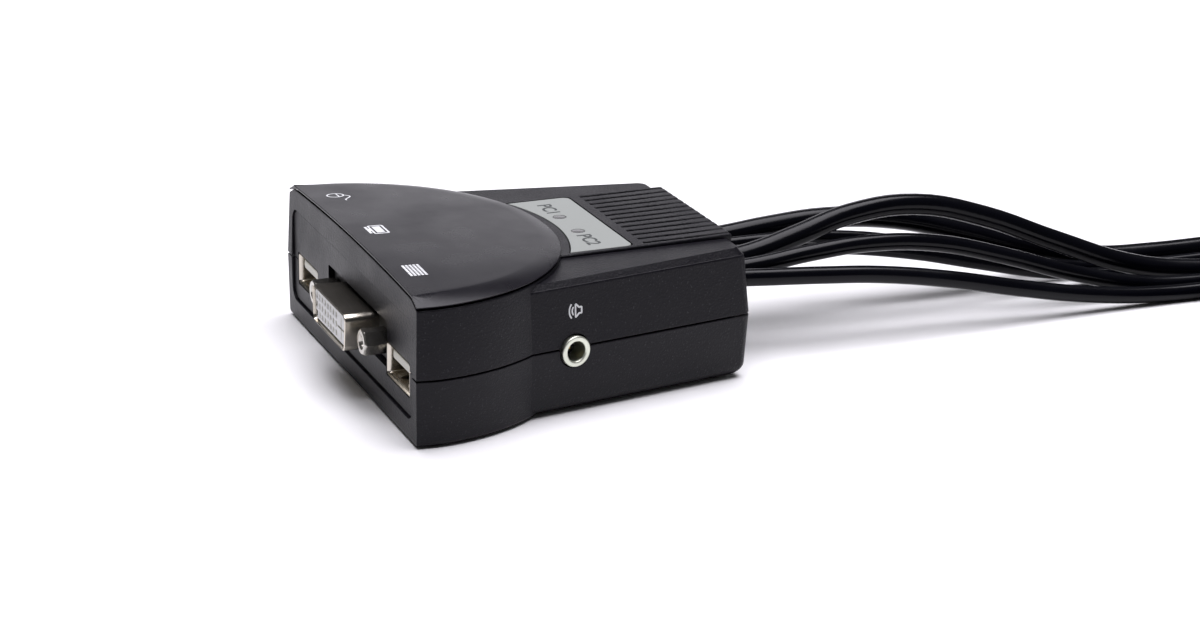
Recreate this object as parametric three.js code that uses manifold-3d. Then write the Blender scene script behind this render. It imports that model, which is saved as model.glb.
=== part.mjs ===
// A two-computer KVM switch: a small two-shell desktop case with video, USB and audio sockets,
// a pressed selector cap, and six fixed leads that end in their plugs.
// Units are millimetres. +X is to the right as seen from the sockets, +Y runs back to the leads,
// +Z is up, and the origin is on the table under the middle of the case.
import * as THREE from "three";
import { mergeVertices } from "three/addons/utils/BufferGeometryUtils.js";
import Module from "manifold-3d";

const wasm = await Module();
wasm.setup();

// ---------- driving dimensions ----------
const GAP = 0.3; // clearance between touching pieces
const WALL = 2.0; // wall of both shells
const FRONT_Y = -36.25; // plane of the socket face
const REAR_Y = 40.75; // plane of the rear wall, where the leads come out
const PAD_PROUD = 0.4; // how far the foot pads stand out of the underside
const PARTING_Z = PAD_PROUD + 13.5; // the line between the two shells

// the half-round nose, measured on the parting line
const NOSE_HALF = 44.7;
const NOSE_DEPTH = 43.0;
const NOSE_SQUARENESS = 2.1; // 2 is an ellipse, more is squarer
const CORNER_EASE = 0.9; // the front corners are drawn in by this much
const FRONT_PROUD = 0.6; // the front edge stands this far before the socket face
const FRONT_DRAFT = 0.35; // how far the front leans in for each millimetre of draft
const LOWER_DRAFT = 0.5;
const UPPER_DRAFT = 1.1;

// the narrower body behind the nose
const BODY_HALF = 37.2; // half-width where the nose ends
const BODY_TAPER = 0.189; // half-width lost for each millimetre to the rear
const BODY_START_Y = FRONT_Y + 8;
const NOSE_END_Y = FRONT_Y + 23;
const BODY_CORNER = 2.0;
const BODY_BOTTOM_ROUND = 3.0;
const NOSE_BOTTOM_ROUND = 1.0;
const LIP_Z = PAD_PROUD + 26.0; // top of the body's side walls
const SHOULDER_BEVEL = 1.3; // width of the bevel above the lip
const SHOULDER_Z = PAD_PROUD + 26.7; // shoulders, at the front face
const SHOULDER_RISE = 0.009;
const DECK_Z = PAD_PROUD + 27.0; // raised deck, at the front face
const DECK_RISE = 0.016;
const DECK_HALF_FRONT = 20.2;
const DECK_HALF_REAR = 18.6;
const REAR_DRAFT = 0.9; // the rear wall leans in by this much at the deck

// selector cap
const CAP_TOP_Z = PAD_PROUD + 30.5;
const CAP_SAG = 0.001; // crown: height lost for each square millimetre from the middle
const CAP_BEVEL = 4.2;
const RIM_Z = PAD_PROUD + 28.1;
const RIM_RISE = 0.007;
const RIM_EDGE = 0.3;
const RIM_GAP = 0.45;
const CAP_TRAVEL_ROOM = RIM_EDGE + RIM_GAP;
const SKIRT_INSET = WALL + 0.4;
const SKIRT_WALL = 1.4;
const SKIRT_BOTTOM_Z = PAD_PROUD + 24.0;
const CAP_PLATE = 1.8;

// deck details
const GROOVES = 13;
const GROOVE_PITCH = 2.91;
const GROOVE_WIDTH = 1.1;
const GROOVE_DEPTH = 0.9;
const GROOVE_START_Y = FRONT_Y + 56.6;
const LABEL_HALF = 18.3;
const LABEL_REAR_Y = FRONT_Y + 54.2;
const LABEL_THICK = 0.6;
const LIGHT_X = 5.3;
const LIGHT_Y = FRONT_Y + 47.3;
const LIGHT_R = 1.4;

// sockets
const USB_X = 30.7;
const USB_Z = PAD_PROUD + 11.7;
const USB_W = 14.0;
const USB_H = 6.6;
const USB_DEPTH = 13.5;
const DVI_X = 4.2;
const DVI_Z = PAD_PROUD + 14.4;
const DVI_W = 23.0;
const DVI_H = 7.8;
const DVI_TAPER = 0.8;
const DVI_REACH = 6.0; // how far the video shell stands out of the front
const JACKSCREW_SPACING = 33.0;
const WINDOW_W = 39.4;
const WINDOW_H = 9.6;
const JACK_Y = FRONT_Y + 35.3;
const JACK_Z = PAD_PROUD + 12.8;
const JACK_R = 3.2;
const JACK_HOLE_R = 2.0;

// circuit board and what stands on it
const BOARD_TOP_Z = PAD_PROUD + 8.0;
const BOARD_THICK = 1.6;
const SWITCH_Y = FRONT_Y + 24;

// rounded recess round the front sockets
const PANEL_Z = PAD_PROUD + 14.4;
const PANEL_W = 81.2;
const PANEL_H = 19.8;
const PANEL_CORNER = 2.6;
const PANEL_DEPTH = 0.3;

// fixings under the case
const SCREWS = [
  [30, FRONT_Y + 21],
  [-30, FRONT_Y + 21],
  [19.5, FRONT_Y + 66],
  [-19.5, FRONT_Y + 66],
];
const PADS = [
  [34, FRONT_Y + 8],
  [-34, FRONT_Y + 8],
  [21, FRONT_Y + 54],
  [-21, FRONT_Y + 54],
];
const PAD_R = 4.0;
const PAD_THICK = 1.0;
const BOSS_R = 3.0;
const SCREW_R = 1.3;
const SCREW_HEAD_R = 2.4;
const SCREW_SINK_Z = PAD_PROUD + 1.7; // how far up the screw heads are let in
const BOSS_TOP_Z = SKIRT_BOTTOM_Z - 1.5;

// leads: bore of the rear slot, then one entry for each lead from left to right
const SLOT_HALF = 18.8;
const SLOT_Z = PAD_PROUD + 16.4;
const SLOT_H = 7.2;
const COLLAR_END_Y = REAR_Y + 1.5;

// plugs at the ends of the leads: how high a plug's axis lies above what it rests on
const PLUG_RISE = { dvi: 7.5, usb: 4.2, audio: 4.4 };
const DVI_HOOD_W = 28;
const DVI_EAR_W = 40;
const DVI_HOOD_L = 36;
const USB_HOOD_W = 16;
const USB_HOOD_L = 34;
const AUDIO_HOOD_R = 4.2;
const AUDIO_HOOD_L = 23;

// ---------- finishes ----------
const finish = (color, roughness, metalness = 0) =>
  new THREE.MeshStandardMaterial({ color, roughness, metalness });
const CASE = finish(0x2b2a2e, 0.55);
const CAP = finish(0x333237, 0.42);
const LABEL = finish(0xd9ddd6, 0.5);
const LENS = finish(0xb9bab6, 0.25);
const RUBBER = finish(0x151517, 0.85);
const STEEL = finish(0x8f8f90, 0.35, 1);
const NICKEL = finish(0xb7b2a6, 0.28, 1);
const INSERT = finish(0xdcdccf, 0.5);
const BOARD = finish(0x1f5a38, 0.5);
const CHIP = finish(0x18181a, 0.6);
const JACKET = finish(0x111216, 0.35);
const HOOD = finish(0x17171a, 0.5);

// ---------- solids ----------
const group = new THREE.Group();

// A three.js geometry as a manifold solid.
function solid(geometry) {
  const plain = geometry.index ? geometry.toNonIndexed() : geometry.clone();
  plain.deleteAttribute("normal");
  plain.deleteAttribute("uv");
  const merged = mergeVertices(plain, 1e-4);
  const mesh = new wasm.Mesh({
    numProp: 3,
    vertProperties: new Float32Array(merged.attributes.position.array),
    triVerts: new Uint32Array(merged.index.array),
  });
  return new wasm.Manifold(mesh);
}

// A manifold solid as a three.js geometry.
function geometryOf(manifold) {
  const { vertProperties, triVerts } = manifold.getMesh();
  const geometry = new THREE.BufferGeometry();
  geometry.setAttribute("position", new THREE.BufferAttribute(vertProperties, 3));
  geometry.setIndex(new THREE.BufferAttribute(triVerts, 1));
  return geometry;
}

const join = (first, ...others) => others.reduce((sum, next) => sum.add(next), first);
const cut = (first, ...others) => others.reduce((rest, next) => rest.subtract(next), first);

// Adds one named piece to the model.
function add(name, shape, material) {
  const geometry = shape.isBufferGeometry ? shape : geometryOf(shape);
  const mesh = new THREE.Mesh(geometry, material);
  mesh.name = name;
  group.add(mesh);
}

// Skin over closed rings of equal count, lowest first, with a fan on each end ring.
function loft(rings) {
  const count = rings[0].length;
  const points = rings.flat();
  const faces = [];
  for (let r = 0; r + 1 < rings.length; r++) {
    for (let i = 0; i < count; i++) {
      const a = r * count + i;
      const b = r * count + ((i + 1) % count);
      faces.push(a, b, b + count, a, b + count, a + count);
    }
  }
  const hub = (ring) => [0, 1, 2].map((k) => ring.reduce((sum, p) => sum + p[k], 0) / count);
  const last = (rings.length - 1) * count;
  points.push(hub(rings[0]), hub(rings.at(-1)));
  for (let i = 0; i < count; i++) {
    const next = (i + 1) % count;
    faces.push(next, i, points.length - 2);
    faces.push(last + i, last + next, points.length - 1);
  }
  const geometry = new THREE.BufferGeometry();
  geometry.setAttribute("position", new THREE.Float32BufferAttribute(points.flat(), 3));
  geometry.setIndex(faces);
  return geometry;
}

const level = (plan, z) => plan.map(([x, y]) => [x, y, z]);

// A box given by its middle and its size.
function box(x, y, z, w, d, h) {
  return new THREE.BoxGeometry(w, d, h).translate(x, y, z);
}

// A box given by its two corners.
function span([x0, y0, z0], [x1, y1, z1]) {
  return box((x0 + x1) / 2, (y0 + y1) / 2, (z0 + z1) / 2, x1 - x0, y1 - y0, z1 - z0);
}

// An upright cylinder between two heights.
function post(x, y, z0, z1, radius, sides = 16) {
  const height = z1 - z0;
  return new THREE.CylinderGeometry(radius, radius, height, sides)
    .rotateX(Math.PI / 2)
    .translate(x, y, z0 + height / 2);
}

// A turned piece whose profile is [radius, distance] pairs, standing along +Y from y = 0.
function turned(profile, sides = 20) {
  const points = profile.map(([r, along]) => new THREE.Vector2(r, along));
  return new THREE.LatheGeometry(points, sides);
}

// A rectangle with rounded corners in X and Z, run from y0 to y1.
function roundedBar(x, z, w, h, radius, y0, y1, taper = 0) {
  const shape = new THREE.Shape();
  const r = radius;
  const low = w / 2 - taper;
  const high = w / 2;
  shape.moveTo(-low + r, -h / 2);
  shape.lineTo(low - r, -h / 2);
  shape.quadraticCurveTo(low, -h / 2, low + taper * 0.3, -h / 2 + r);
  shape.lineTo(high, h / 2 - r);
  shape.quadraticCurveTo(high, h / 2, high - r, h / 2);
  shape.lineTo(-high + r, h / 2);
  shape.quadraticCurveTo(-high, h / 2, -high, h / 2 - r);
  shape.lineTo(-low - taper * 0.3, -h / 2 + r);
  shape.quadraticCurveTo(-low, -h / 2, -low + r, -h / 2);
  const depth = y1 - y0;
  return new THREE.ExtrudeGeometry(shape, { depth, bevelEnabled: false, curveSegments: 3 })
    .rotateX(Math.PI / 2)
    .translate(x, y1, z);
}

// ---------- plan outlines ----------
const ARC_STEPS = 26;
const FRONT_STEPS = 10;

// The front edge: proud of the socket face outside, and parallel to it inside the wall.
const frontEdgeY = (inset) =>
  inset < WALL ? FRONT_Y - FRONT_PROUD + FRONT_DRAFT * inset : FRONT_Y + inset;

// The half-round nose: an arc from the right front corner to the left one, then the front edge.
function nosePlan(inset) {
  const a = NOSE_HALF - inset;
  const b = NOSE_DEPTH - inset;
  const power = 2 / NOSE_SQUARENESS;
  const start = Math.asin((inset / b) ** (1 / power));
  const plan = [];
  for (let i = 0; i <= ARC_STEPS; i++) {
    const angle = start + (i / ARC_STEPS) * (Math.PI - 2 * start);
    const depth = b * Math.abs(Math.sin(angle)) ** power;
    const side = Math.sign(Math.cos(angle)) * Math.abs(Math.cos(angle)) ** power;
    const eased = a * side - Math.sign(side) * CORNER_EASE * Math.exp(-depth / 2.5);
    const atCorner = i % ARC_STEPS === 0;
    plan.push([eased, atCorner ? frontEdgeY(inset) : FRONT_Y + depth]);
  }
  const left = plan.at(-1)[0];
  for (let i = 1; i < FRONT_STEPS; i++) {
    plan.push([left * (1 - (2 * i) / FRONT_STEPS), frontEdgeY(inset)]);
  }
  return plan;
}

const bodyHalf = (y) => BODY_HALF - BODY_TAPER * (y - NOSE_END_Y);

// The tapering body with its two rounded rear corners.
function bodyPlan(inset, startY = BODY_START_Y, lean = 0) {
  const rear = REAR_Y - inset - lean;
  const half = (y) => bodyHalf(y) - inset;
  const r = BODY_CORNER;
  const right = [[half(startY), startY]];
  for (let i = 0; i <= 3; i++) {
    const angle = (i / 3) * (Math.PI / 2);
    const y = rear - r + r * Math.sin(angle);
    right.push([half(rear - r) - r + r * Math.cos(angle), y]);
  }
  const left = right.map(([x, y]) => [-x, y]).reverse();
  return [...right, ...left];
}

// ---------- heights ----------
const shoulderZ = (y) => SHOULDER_Z + SHOULDER_RISE * (y - FRONT_Y);
const deckZ = (y) => DECK_Z + DECK_RISE * (y - FRONT_Y);
const deckHalf = (y) =>
  DECK_HALF_FRONT +
  ((DECK_HALF_REAR - DECK_HALF_FRONT) * (y - NOSE_END_Y)) / (REAR_Y - NOSE_END_Y);
const crownZ = (x, y) => CAP_TOP_Z - CAP_SAG * (x * x + (y - FRONT_Y) ** 2);
const rimZ = (y) => RIM_Z + RIM_RISE * (y - FRONT_Y);

// Height of the cap's outer edge: the rim round the arc, and the crown along the front.
function edgeZ(x, y, inset) {
  const bevelStart = NOSE_HALF - CAP_BEVEL - UPPER_DRAFT;
  if (y > FRONT_Y + inset + 0.01) {
    return rimZ(y);
  }
  const beyond = Math.max(0, Math.abs(x) - bevelStart) / CAP_BEVEL;
  return THREE.MathUtils.lerp(crownZ(x, y), rimZ(y), Math.min(1, beyond));
}

// ---------- the two shells ----------
const noseRing = (inset, z) => level(nosePlan(inset), z);

function lowerOutside() {
  const top = PARTING_Z - GAP / 2;
  const nose = loft([
    noseRing(LOWER_DRAFT + NOSE_BOTTOM_ROUND, PAD_PROUD),
    noseRing(LOWER_DRAFT + NOSE_BOTTOM_ROUND * 0.3, PAD_PROUD + NOSE_BOTTOM_ROUND * 0.3),
    noseRing(LOWER_DRAFT, PAD_PROUD + NOSE_BOTTOM_ROUND),
    noseRing(0, top),
  ]);
  const r = BODY_BOTTOM_ROUND;
  const body = loft([
    level(bodyPlan(LOWER_DRAFT + r), PAD_PROUD),
    level(bodyPlan(LOWER_DRAFT + r * 0.5), PAD_PROUD + r * 0.13),
    level(bodyPlan(LOWER_DRAFT + r * 0.13), PAD_PROUD + r * 0.5),
    level(bodyPlan(LOWER_DRAFT), PAD_PROUD + r),
    level(bodyPlan(0), top),
  ]);
  return join(solid(nose), solid(body));
}

function upperOutside() {
  const bottom = PARTING_Z + GAP / 2;
  const brim = nosePlan(UPPER_DRAFT).map(([x, y]) => [
    x,
    y,
    edgeZ(x, y, UPPER_DRAFT) - CAP_TRAVEL_ROOM,
  ]);
  const nose = loft([noseRing(0, bottom), brim]);
  const shoulderEdge = bodyPlan(UPPER_DRAFT + SHOULDER_BEVEL);
  const body = loft([
    level(bodyPlan(0), bottom),
    level(bodyPlan(UPPER_DRAFT), LIP_Z),
    shoulderEdge.map(([x, y]) => [x, y, shoulderZ(y)]),
  ]);
  const deckY = [FRONT_Y + 30, REAR_Y - REAR_DRAFT];
  const deckPlan = [
    [deckHalf(deckY[0]), deckY[0]],
    [deckHalf(deckY[1]), deckY[1]],
    [-deckHalf(deckY[1]), deckY[1]],
    [-deckHalf(deckY[0]), deckY[0]],
  ];
  const deck = loft([level(deckPlan, LIP_Z - 3), deckPlan.map(([x, y]) => [x, y, deckZ(y)])]);
  return join(solid(nose), solid(body), solid(deck));
}

// The hollow shared by both shells: the nose is open upwards, and the body has a roof.
function hollow(floor, noseTop, bodyTop) {
  const nose = loft([noseRing(WALL + LOWER_DRAFT, floor), noseRing(WALL + UPPER_DRAFT, noseTop)]);
  const body = loft([
    level(bodyPlan(WALL + UPPER_DRAFT, BODY_START_Y - 4), floor),
    level(bodyPlan(WALL + UPPER_DRAFT, BODY_START_Y - 4), bodyTop),
  ]);
  return join(solid(nose), solid(body));
}

// Everything that opens through the walls at the sockets and the leads.
function wallOpenings() {
  const front = [FRONT_Y - 2, FRONT_Y + WALL + 2];
  const usb = [-USB_X, USB_X].map((x) =>
    solid(span([x - USB_W / 2 - GAP, front[0], USB_Z - USB_H / 2 - GAP],
      [x + USB_W / 2 + GAP, front[1], USB_Z + USB_H / 2 + GAP])));
  const video = solid(span([DVI_X - WINDOW_W / 2, front[0], DVI_Z - WINDOW_H / 2],
    [DVI_X + WINDOW_W / 2, front[1], DVI_Z + WINDOW_H / 2]));
  const jackBore = new THREE.CylinderGeometry(JACK_R + GAP, JACK_R + GAP, 6 * WALL, 24);
  const jack = solid(onSideWall(jackBore.rotateZ(-Math.PI / 2)));
  const slot = solid(span([-SLOT_HALF, REAR_Y - WALL - 4, SLOT_Z - SLOT_H / 2],
    [SLOT_HALF, REAR_Y + 3, SLOT_Z + SLOT_H / 2]));
  const panel = solid(roundedBar(0, PANEL_Z, PANEL_W, PANEL_H, PANEL_CORNER, front[0],
    FRONT_Y + PANEL_DEPTH));
  return join(video, ...usb, jack, slot, panel);
}

// Moves a piece made along +X at the origin to the audio socket's place on the right side wall.
function onSideWall(geometry) {
  const turn = Math.atan(BODY_TAPER);
  return geometry.rotateZ(turn).translate(bodyHalf(JACK_Y), JACK_Y, JACK_Z);
}

function lowerShell() {
  const floor = PAD_PROUD + WALL;
  const walls = cut(lowerOutside(), hollow(floor, PARTING_Z + 5, PARTING_Z + 5));
  const bosses = SCREWS.map(([x, y]) => solid(post(x, y, floor - 1, PARTING_Z - 1.5, BOSS_R)));
  const holes = SCREWS.map(([x, y]) => solid(post(x, y, 0, PARTING_Z, SCREW_R + GAP)));
  const sinks = SCREWS.map(([x, y]) => solid(post(x, y, 0, SCREW_SINK_Z, SCREW_HEAD_R + GAP)));
  const seats = PADS.map(([x, y]) =>
    solid(post(x, y, 0, PAD_THICK + GAP, PAD_R + GAP, 24)));
  return cut(join(walls, ...bosses), wallOpenings(), ...holes, ...sinks, ...seats);
}

// The shallow grooves of the deck, deepest in front and running out at the rear edge.
function groove(x) {
  const y0 = GROOVE_START_Y;
  const y1 = REAR_Y + 2;
  const half = GROOVE_WIDTH / 2;
  const side = [
    [y0, deckZ(y0) - GROOVE_DEPTH],
    [y1, deckZ(y1) - 0.15],
    [y1, deckZ(y1) + 2],
    [y0, deckZ(y0) + 2],
  ];
  const ring = (at) => side.map(([y, z]) => [at, y, z]);
  return solid(loft([ring(x - half), ring(x + half)]));
}

// The label's outline: its front edge follows the cap's arc at a small distance.
function labelPlan(grow) {
  const shape = new THREE.Shape();
  const half = LABEL_HALF + grow;
  const rear = LABEL_REAR_Y + grow;
  const radius = NOSE_HALF - UPPER_DRAFT + 0.9 - grow;
  const reach = Math.asin(half / radius);
  shape.moveTo(half, rear - 1.5);
  shape.quadraticCurveTo(half, rear, half - 1.5, rear);
  shape.lineTo(-half + 1.5, rear);
  shape.quadraticCurveTo(-half, rear, -half, rear - 1.5);
  shape.absarc(0, FRONT_Y, radius, Math.PI / 2 + reach, Math.PI / 2 - reach, true);
  return shape;
}

function labelSlab(grow, z0, z1) {
  const flat = new THREE.ExtrudeGeometry(labelPlan(grow), {
    depth: z1 - z0,
    bevelEnabled: false,
    curveSegments: 5,
  });
  const tilt = new THREE.Matrix4().makeShear(0, 0, 0, DECK_RISE, 0, 0);
  return solid(flat.applyMatrix4(tilt).translate(0, 0, z0 - DECK_RISE * FRONT_Y));
}

function upperShell() {
  const inside = hollow(PARTING_Z - 5, CAP_TOP_Z + 5, SHOULDER_Z - WALL);
  const shell = cut(upperOutside(), inside);
  const bosses = SCREWS.map(([x, y]) =>
    solid(post(x, y, PARTING_Z - 0.6, BOSS_TOP_Z, BOSS_R)));
  const ribs = SCREWS.map(([x, y]) => bossRib(x, y));
  const pilots = SCREWS.map(([x, y]) =>
    solid(post(x, y, PARTING_Z - 3, PARTING_Z + 7, SCREW_R + GAP)));
  const grooves = Array.from({ length: GROOVES }, (_, i) =>
    groove((i - (GROOVES - 1) / 2) * GROOVE_PITCH));
  const pipes = [-LIGHT_X, LIGHT_X].map((x) =>
    solid(post(x, LIGHT_Y, PARTING_Z, CAP_TOP_Z + 4, LIGHT_R + GAP)));
  const pocket = labelSlab(GAP, DECK_Z - LABEL_THICK - GAP, DECK_Z + 3);
  const whole = join(shell, ...bosses, ...ribs);
  return cut(whole, wallOpenings(), pocket, ...grooves, ...pilots, ...pipes);
}

// A rib that ties a screw boss of the upper shell to the nearest side wall.
function bossRib(x, y) {
  const outer = Math.sign(x) * (bodyHalf(y) - UPPER_DRAFT - 0.6);
  const from = Math.min(x, outer);
  const to = Math.max(x, outer);
  return solid(span([from, y - 0.8, PARTING_Z + 3], [to, y + 0.8, BOSS_TOP_Z]));
}

// ---------- selector cap ----------
function selectorCap() {
  const outer = nosePlan(UPPER_DRAFT);
  const rim = outer.map(([x, y]) => [x, y, edgeZ(x, y, UPPER_DRAFT)]);
  const under = rim.map(([x, y, z]) => [x, y, z - RIM_EDGE]);
  const plan = (inset) => nosePlan(UPPER_DRAFT + inset);
  const neck = plan(SKIRT_INSET).map(([x, y], i) => [x, y, rim[i][2] - RIM_EDGE]);
  const inner = plan(SKIRT_INSET + SKIRT_WALL);
  const bevel = plan(CAP_BEVEL).map(([x, y], i) =>
    i > ARC_STEPS ? [x, outer[i][1], crownZ(x, outer[i][1])] : [x, y, crownZ(x, y)]);
  const hubY = FRONT_Y + 14;
  const toward = (share) => bevel.map(([x, y]) => {
    const near = [x * share, hubY + (y - hubY) * share];
    return [...near, crownZ(...near)];
  });
  return solid(loft([
    inner.map(([x, y]) => [x, y, crownZ(x, y) - CAP_PLATE - 0.6]),
    level(inner, SKIRT_BOTTOM_Z),
    level(plan(SKIRT_INSET), SKIRT_BOTTOM_Z),
    neck,
    under,
    rim,
    bevel,
    toward(0.66),
    toward(0.3),
  ]));
}

const STEM_BOTTOM_Z = SKIRT_BOTTOM_Z + 0.4;

// The cap with the stem that works the switch and two guide pins.
function capWithActuator() {
  const stem = solid(post(0, SWITCH_Y, STEM_BOTTOM_Z, CAP_TOP_Z - 2.2, 3.0));
  const guides = [-18, 18].map((x) =>
    solid(post(x, SWITCH_Y, SKIRT_BOTTOM_Z - 4, CAP_TOP_Z - 3, 2.0)));
  return join(selectorCap(), stem, ...guides);
}

add("lower_shell", lowerShell(), CASE);
add("upper_shell", upperShell(), CASE);
add("selector_cap", capWithActuator(), CAP);

// ---------- label and indicator lights ----------
function labelPlate() {
  const plate = labelSlab(0, DECK_Z - LABEL_THICK, DECK_Z);
  const holes = [-LIGHT_X, LIGHT_X].map((x) =>
    solid(post(x, LIGHT_Y, PARTING_Z, CAP_TOP_Z, LIGHT_R + GAP)));
  return cut(plate, ...holes);
}

add("label_plate", labelPlate(), LABEL);

// ---------- circuit board ----------
const BOARD_Z = BOARD_TOP_Z - BOARD_THICK;
const CHIP_H = 1.2;
const SWITCH_H = 3.5;
const LED_H = 2.0;

// The board: wide behind the sockets, narrow to the rear, with a wing under the audio socket.
function circuitBoard() {
  const front = solid(span([-37, FRONT_Y + 2.8, BOARD_Z], [37, FRONT_Y + 16.5, BOARD_TOP_Z]));
  const rear = solid(span([-24.5, FRONT_Y + 12, BOARD_Z], [24.5, FRONT_Y + 60, BOARD_TOP_Z]));
  const wing = solid(span([20, FRONT_Y + 30, BOARD_Z], [29, FRONT_Y + 41, BOARD_TOP_Z]));
  return join(front, rear, wing);
}

add("circuit_board", circuitBoard(), BOARD);

const onBoard = (x, y, w, d, h) => box(x, y, BOARD_TOP_Z + GAP + h / 2, w, d, h);
add("video_switch_chip", onBoard(-12, FRONT_Y + 36, 10, 10, CHIP_H), CHIP);
add("usb_switch_chip", onBoard(13, FRONT_Y + 26, 7, 7, CHIP_H), CHIP);
add("selector_switch", onBoard(0, SWITCH_Y, 6, 6, SWITCH_H), CHIP);

// The switch's long plunger, which the cap's stem pushes.
const PLUNGER_BOTTOM_Z = BOARD_TOP_Z + SWITCH_H + 2 * GAP + 0.5;
add("switch_plunger", post(0, SWITCH_Y, PLUNGER_BOTTOM_Z, STEM_BOTTOM_Z - GAP, 1.7), HOOD);

[-1, 1].forEach((side, i) => {
  const x = side * LIGHT_X;
  const top = deckZ(LIGHT_Y) - 0.05;
  add(`indicator_led_${i + 1}`, onBoard(x, LIGHT_Y, 3.2, 1.8, LED_H), LENS);
  add(`light_pipe_${i + 1}`, post(x, LIGHT_Y, BOARD_TOP_Z + LED_H + 2 * GAP, top, LIGHT_R, 20),
    LENS);
});

// ---------- front sockets ----------
// A USB-A receptacle: a steel box open in front, and its contact tongue.
function usbShell(x) {
  const mouth = FRONT_Y + 0.1;
  const sleeve = (inset, y0, y1) => {
    const half = USB_W / 2 - inset;
    const high = USB_H / 2 - inset;
    return solid(span([x - half, y0, USB_Z - high], [x + half, y1, USB_Z + high]));
  };
  return cut(sleeve(0, mouth, mouth + USB_DEPTH), sleeve(0.6, mouth - 1, mouth + USB_DEPTH - 1));
}

["left", "right"].forEach((place, i) => {
  const x = (i * 2 - 1) * USB_X;
  add(`usb_shell_${place}`, usbShell(x), NICKEL);
  add(`usb_tongue_${place}`, span([x - 5.6, FRONT_Y + 0.9, USB_Z + 0.4],
    [x + 5.6, FRONT_Y + USB_DEPTH - 1.3, USB_Z + 2.2]), INSERT);
});

// The DVI receptacle: flange and D-shaped shell in one, then the contact block inside.
const FLANGE_Y = FRONT_Y + 1.2;
const DVI_TIP_Y = FRONT_Y - DVI_REACH;
const DVI_SKIN = 0.5;
const jackscrewX = [-1, 1].map((side) => DVI_X + (side * JACKSCREW_SPACING) / 2);

// The D-shaped outline of the video socket, drawn in by an inset.
const dviBar = (inset, y0, y1) =>
  solid(roundedBar(DVI_X, DVI_Z, DVI_W - 2 * inset, DVI_H - 2 * inset, 1.4 - 0.6 * inset, y0, y1,
    DVI_TAPER));

function dviShell() {
  const half = WINDOW_W / 2 - 0.4;
  const high = WINDOW_H / 2 - 0.4;
  const flange = solid(span([DVI_X - half, FLANGE_Y, DVI_Z - high],
    [DVI_X + half, FLANGE_Y + 0.8, DVI_Z + high]));
  const sleeve = dviBar(0, DVI_TIP_Y, FLANGE_Y + 0.4);
  const bore = dviBar(DVI_SKIN, DVI_TIP_Y - 1, FLANGE_Y + 2);
  const holes = jackscrewX.map((x) => solid(alongY(x, DVI_Z, FLANGE_Y - 2, FLANGE_Y + 3, 1.7)));
  return cut(join(flange, sleeve), bore, ...holes);
}

// A cylinder running back along +Y.
function alongY(x, z, y0, y1, radius, sides = 16) {
  return new THREE.CylinderGeometry(radius, radius, y1 - y0, sides).translate(x, (y0 + y1) / 2, z);
}

function dviInsert() {
  const tongue = dviBar(DVI_SKIN + GAP, DVI_TIP_Y + 0.5, FLANGE_Y + 2);
  const block = solid(span([DVI_X - 12.5, FRONT_Y + 3, BOARD_TOP_Z + GAP],
    [DVI_X + 12.5, FLANGE_Y + 10, DVI_Z + 4.2]));
  return join(tongue, block);
}

// A hexagonal jackscrew: a nut-like head on a threaded stem through the flange.
function jackscrew(x) {
  const head = solid(alongY(x, DVI_Z, FRONT_Y - 4.3, FLANGE_Y - GAP, 2.75, 6));
  const stem = solid(alongY(x, DVI_Z, FLANGE_Y - 1, FLANGE_Y + 5, 1.35));
  const thread = solid(alongY(x, DVI_Z, FRONT_Y - 5, FRONT_Y - 1, 1.3));
  return cut(join(head, stem), thread);
}

add("dvi_shell", dviShell(), NICKEL);
add("dvi_insert", dviInsert(), INSERT);
add("jackscrew_left", jackscrew(jackscrewX[0]), STEEL);
add("jackscrew_right", jackscrew(jackscrewX[1]), STEEL);

// ---------- audio socket in the right side wall ----------
// The threaded nose of the audio socket, a ring round its bore.
function audioRing() {
  const profile = [[JACK_HOLE_R, -4], [JACK_R - 0.1, -4], [JACK_R, -0.3], [JACK_R, 0.4],
    [JACK_R - 0.5, 0.7], [JACK_HOLE_R + 0.2, 0.7], [JACK_HOLE_R, 0.4], [JACK_HOLE_R, -4]];
  return onSideWall(turned(profile, 24).rotateZ(-Math.PI / 2));
}

// The audio socket's body, which stands on the board behind the wall.
function audioBody() {
  const body = solid(box(-9.3, 0, BOARD_TOP_Z + GAP + 4 - JACK_Z, 10, 8, 8));
  const bore = new THREE.CylinderGeometry(1.8, 1.8, 8, 16).rotateZ(Math.PI / 2);
  return onSideWall(geometryOf(cut(body, solid(bore.translate(-5.3, 0, 0)))));
}

add("audio_ring", audioRing(), NICKEL);
add("audio_body", audioBody(), CHIP);

// ---------- fixings and feet ----------
SCREWS.forEach(([x, y], i) => {
  const top = SCREW_SINK_Z - GAP;
  const head = solid(post(x, y, PAD_PROUD + 0.2, top, SCREW_HEAD_R));
  const shank = solid(post(x, y, top - 0.2, PARTING_Z + 5.5, SCREW_R, 12));
  add(`case_screw_${i + 1}`, join(head, shank), STEEL);
});
PADS.forEach(([x, y], i) => {
  add(`foot_pad_${i + 1}`, post(x, y, 0, PAD_THICK, PAD_R, 24), RUBBER);
});

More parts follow.
